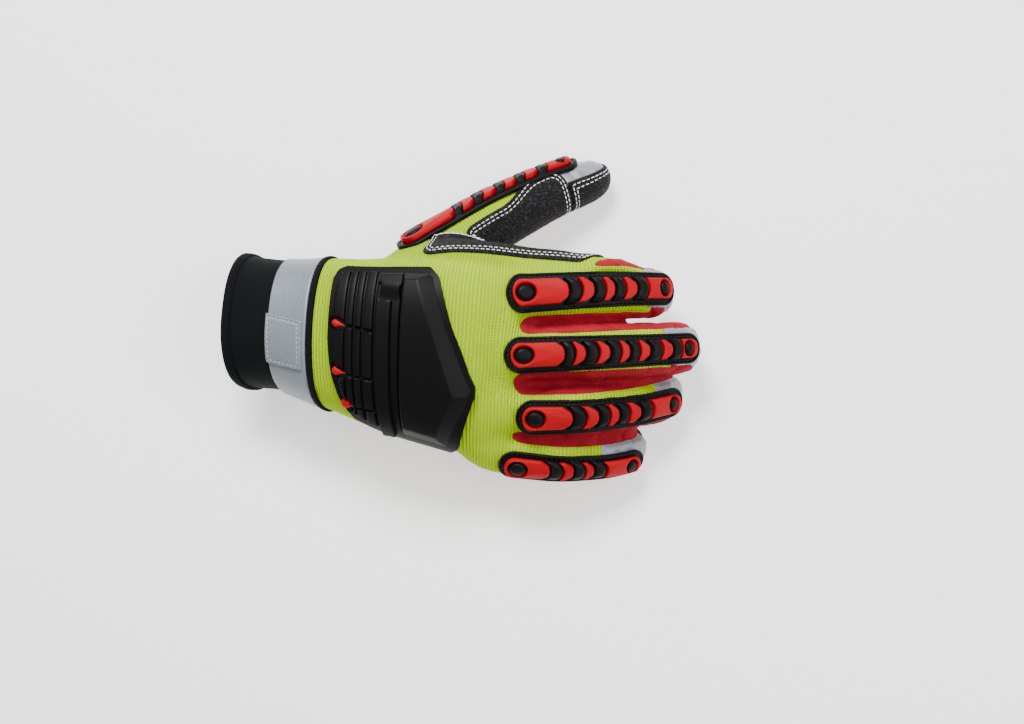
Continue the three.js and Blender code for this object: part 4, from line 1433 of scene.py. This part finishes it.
def grip():
    g = Graph("grip", (0.012, 0.012, 0.013), 0.72, 0.2)
    loops = g.cells(900.0)
    curls = g.noise(700.0, 3.0)
    light = g.math("GREATER_THAN", g.math("MULTIPLY_ADD", loops, -0.35, curls), 0.42)
    g.set("Base Color", g.mix(g.math("MULTIPLY", light, 0.5), (0.004, 0.004, 0.0045), (0.048, 0.048, 0.052)))
    g.bump(g.math("ADD", curls, loops), 0.0006)
    return g.material


def reflective(name, color, spread):
    g = Graph(name, color, 0.42)
    dark = tuple(c * 0.78 for c in color)
    g.set("Base Color", g.mix(g.math("MULTIPLY", g.noise(spread, 3.0), 0.8), dark, color))
    g.set("Metallic", 0.25)
    g.bump(g.cells(1500.0), 0.00012)
    return g.material


def neoprene():
    g = Graph("neoprene", (0.003, 0.0034, 0.004), 0.85, 0.12)
    g.bump(g.noise(900.0, 3.0), 0.00025)
    return g.material


def rubber(name, color, roughness):
    g = Graph(name, color, roughness, 0.12)
    g.bump(g.noise(1100.0, 2.0), 0.00005)
    return g.material


def thread(name, color):
    return Graph(name, color, 0.7).material


def floor_material():
    g = Graph("floor", (0.92, 0.92, 0.92), 0.95)
    g.set("Emission Color", (1.0, 1.0, 1.0, 1.0))
    g.set("Emission Strength", 0.9)
    return g.material


# The glove

KNIT, SUEDE, SIDEWALL, GRIP, NEOPRENE = knit(), suede(), sidewall(), grip(), neoprene()
GRAY = reflective("reflective", (0.235, 0.265, 0.295), 400.0)
SILVER = reflective("reflective_tip", (0.30, 0.33, 0.37), 160.0)
BLACK_RUBBER = rubber("guard_rubber", (0.003, 0.003, 0.0034), 0.45)
RED_RUBBER = rubber("red_rubber", (0.38, 0.0, 0.006), 0.45)
TAB_RUBBER = rubber("tab_rubber", (0.004, 0.004, 0.0045), 0.5)
WHITE_THREAD = thread("white_thread", (0.8, 0.8, 0.8))
BLACK_THREAD = thread("black_thread", (0.004, 0.004, 0.005))
GRAY_THREAD = thread("gray_thread", (0.45, 0.48, 0.52))


CLOTHS = {"back": (KNIT, "knit"), "palm": (SUEDE, "suede"), "sidewall": (SIDEWALL, "sidewall"),
          "tip": (SILVER, "reflective")}


def folds(p, cloth):
    """How far a cloth's folds stand out, except on its flat where it rests."""
    if cloth == "back":
        height = 0.3 * noise(p, 9, 1) + 0.14 * noise(p, 4, 2)
    elif cloth == "tip":
        height = 0.6 * noise(p, 6, 3) + 0.3 * noise(p, 2.6, 4) - 0.5 * bell(noise(p, 8, 8) / 0.12)
    else:
        height = 0.4 * noise(p, 8, 6) + 0.2 * noise(p, 3.2, 7)
    if cloth == "sidewall":
        height = height - 0.9 * bell(noise(p * (0.35, 1, 1), 9, 12) / 0.1)
    return np.where(p[:, 2] < PATCH + 0.3, -0.2, height)


def build_fabric():
    skin = base_skin()
    patches, white = patch_pieces(skin)
    parts = fabric_pieces(skin)
    for name, mesh in parts.items():
        mesh.v = np.column_stack([mesh.v[:, :2], np.maximum(mesh.v[:, 2], PATCH)])
        cloth = name.split("_")[-1]
        material, slot = CLOTHS[cloth]
        shell = mesh.shell(folds(mesh.v, cloth) - 0.25, -SKIN_WALL)
        shell.values = {k: shell.values[k] for k in ("rib", "cross")}
        split = {"back": "_back", "palm": "_front"}.get(cloth)
        nodes = [name] + ([finger + split for finger in FINGERS] if split else [])
        make(name + "_cloth", shell, material, slot, nodes)
    patches = {name: Mesh(mesh.v, mesh.tris) for name, mesh in patches.items()}
    stitching = joined(white)
    for mesh in (*patches.values(), stitching):
        mesh.v[:, 2] = np.maximum(mesh.v[:, 2], OFF_FLOOR)
    for name, mesh in patches.items():
        make(name + "_grip", mesh, GRIP, "grip", [name])
    make("patch_stitches", stitching, WHITE_THREAD, "grip")


def build_guards():
    threads = []
    for name in GUARDS:
        black, red, thread_parts = guard_pieces(name)
        make(name + "_guard_rubber", black, BLACK_RUBBER, "guard_rubber", [name + "_guard"], 60)
        make(name + "_guard_red", red, RED_RUBBER, "red_rubber", [name + "_guard_inlay"], 40)
        threads += thread_parts
    black, drops, thread_parts = panel_pieces()
    make("back_guard_rubber", black, BLACK_RUBBER, "guard_rubber", ["back_guard"], 40)
    for i, drop in enumerate(drops, 1):
        make(f"back_guard_drop_{i}", drop, RED_RUBBER, "red_rubber", [f"back_guard_inlay_{i}"], 60)
    make("guard_stitches", joined(threads + thread_parts), BLACK_THREAD, "guard_rubber")


def build_cuff():
    made, label_thread = cuff_pieces()
    slots = {"strap_tab": (TAB_RUBBER, "tab_rubber")}
    slots.update({name: (NEOPRENE, "neoprene") for name in ("cuff", "cuff_hem", "wrist_binding")})
    slots.update({name: (GRAY, "reflective") for name in ("cuff_band", "cuff_label", "closure_strap")})
    for name, mesh in made.items():
        make(name + "_made", mesh, *slots[name], [name], 60)
    make("label_stitches", joined(label_thread), GRAY_THREAD, "reflective")


build_fabric()
build_guards()
build_cuff()


# The floor, the light and the camera

def area_light(name, at, aim, size, power):
    data = bpy.data.lights.new(name, "AREA")
    data.shape, data.size, data.energy = "SQUARE", size, power
    obj = bpy.data.objects.new(name, data)
    obj.location = at
    obj.rotation_euler = (Vector(aim) - Vector(at)).to_track_quat("-Z", "Y").to_euler()
    bpy.context.scene.collection.objects.link(obj)


data = bpy.data.meshes.new("floor")
FLOOR_HALF = 6.0
corners = [(x * FLOOR_HALF, y * FLOOR_HALF, 0) for x, y in ((-1, -1), (1, -1), (1, 1), (-1, 1))]
data.from_pydata(corners, [], [(0, 1, 2, 3)])
data.materials.append(floor_material())
floor = bpy.data.objects.new("floor", data)
bpy.context.scene.collection.objects.link(floor)

world = bpy.data.worlds.new("studio")
world.use_nodes = True
sky = world.node_tree.nodes["Background"]
sky.inputs["Color"].default_value = (1, 1, 1, 1)
sky.inputs["Strength"].default_value = 0.45
bpy.context.scene.world = world
AIM = (0, 0, 0.03)
area_light("key", at=(-0.15, 0.65, 1.1), aim=AIM, size=0.5, power=26)
area_light("fill", at=(0.8, -0.2, 0.9), aim=AIM, size=0.9, power=9)

# The camera looks at TARGET from DISTANCE metres away along BACK; the lens and sensor are in millimetres
LENS = 85
SENSOR = 36
DISTANCE = 1.281
TARGET = Vector((35.1, -37.75, 67.8)) * MM
BACK = Vector((0.1788, -0.2475, 0.952)).normalized()
RIGHT = Vector((0.9826, 0.0939, -0.16))
RIGHT = (RIGHT - BACK * RIGHT.dot(BACK)).normalized()
UP = BACK.cross(RIGHT)
camera_data = bpy.data.cameras.new("camera")
camera_data.lens, camera_data.sensor_width = LENS, SENSOR
camera = bpy.data.objects.new("camera", camera_data)
place = Matrix.Identity(4)
for column, axis in enumerate((RIGHT, UP, BACK, TARGET + BACK * DISTANCE)):
    for row in range(3):
        place[row][column] = axis[row]
camera.matrix_world = place
bpy.context.scene.collection.objects.link(camera)
bpy.context.scene.camera = camera
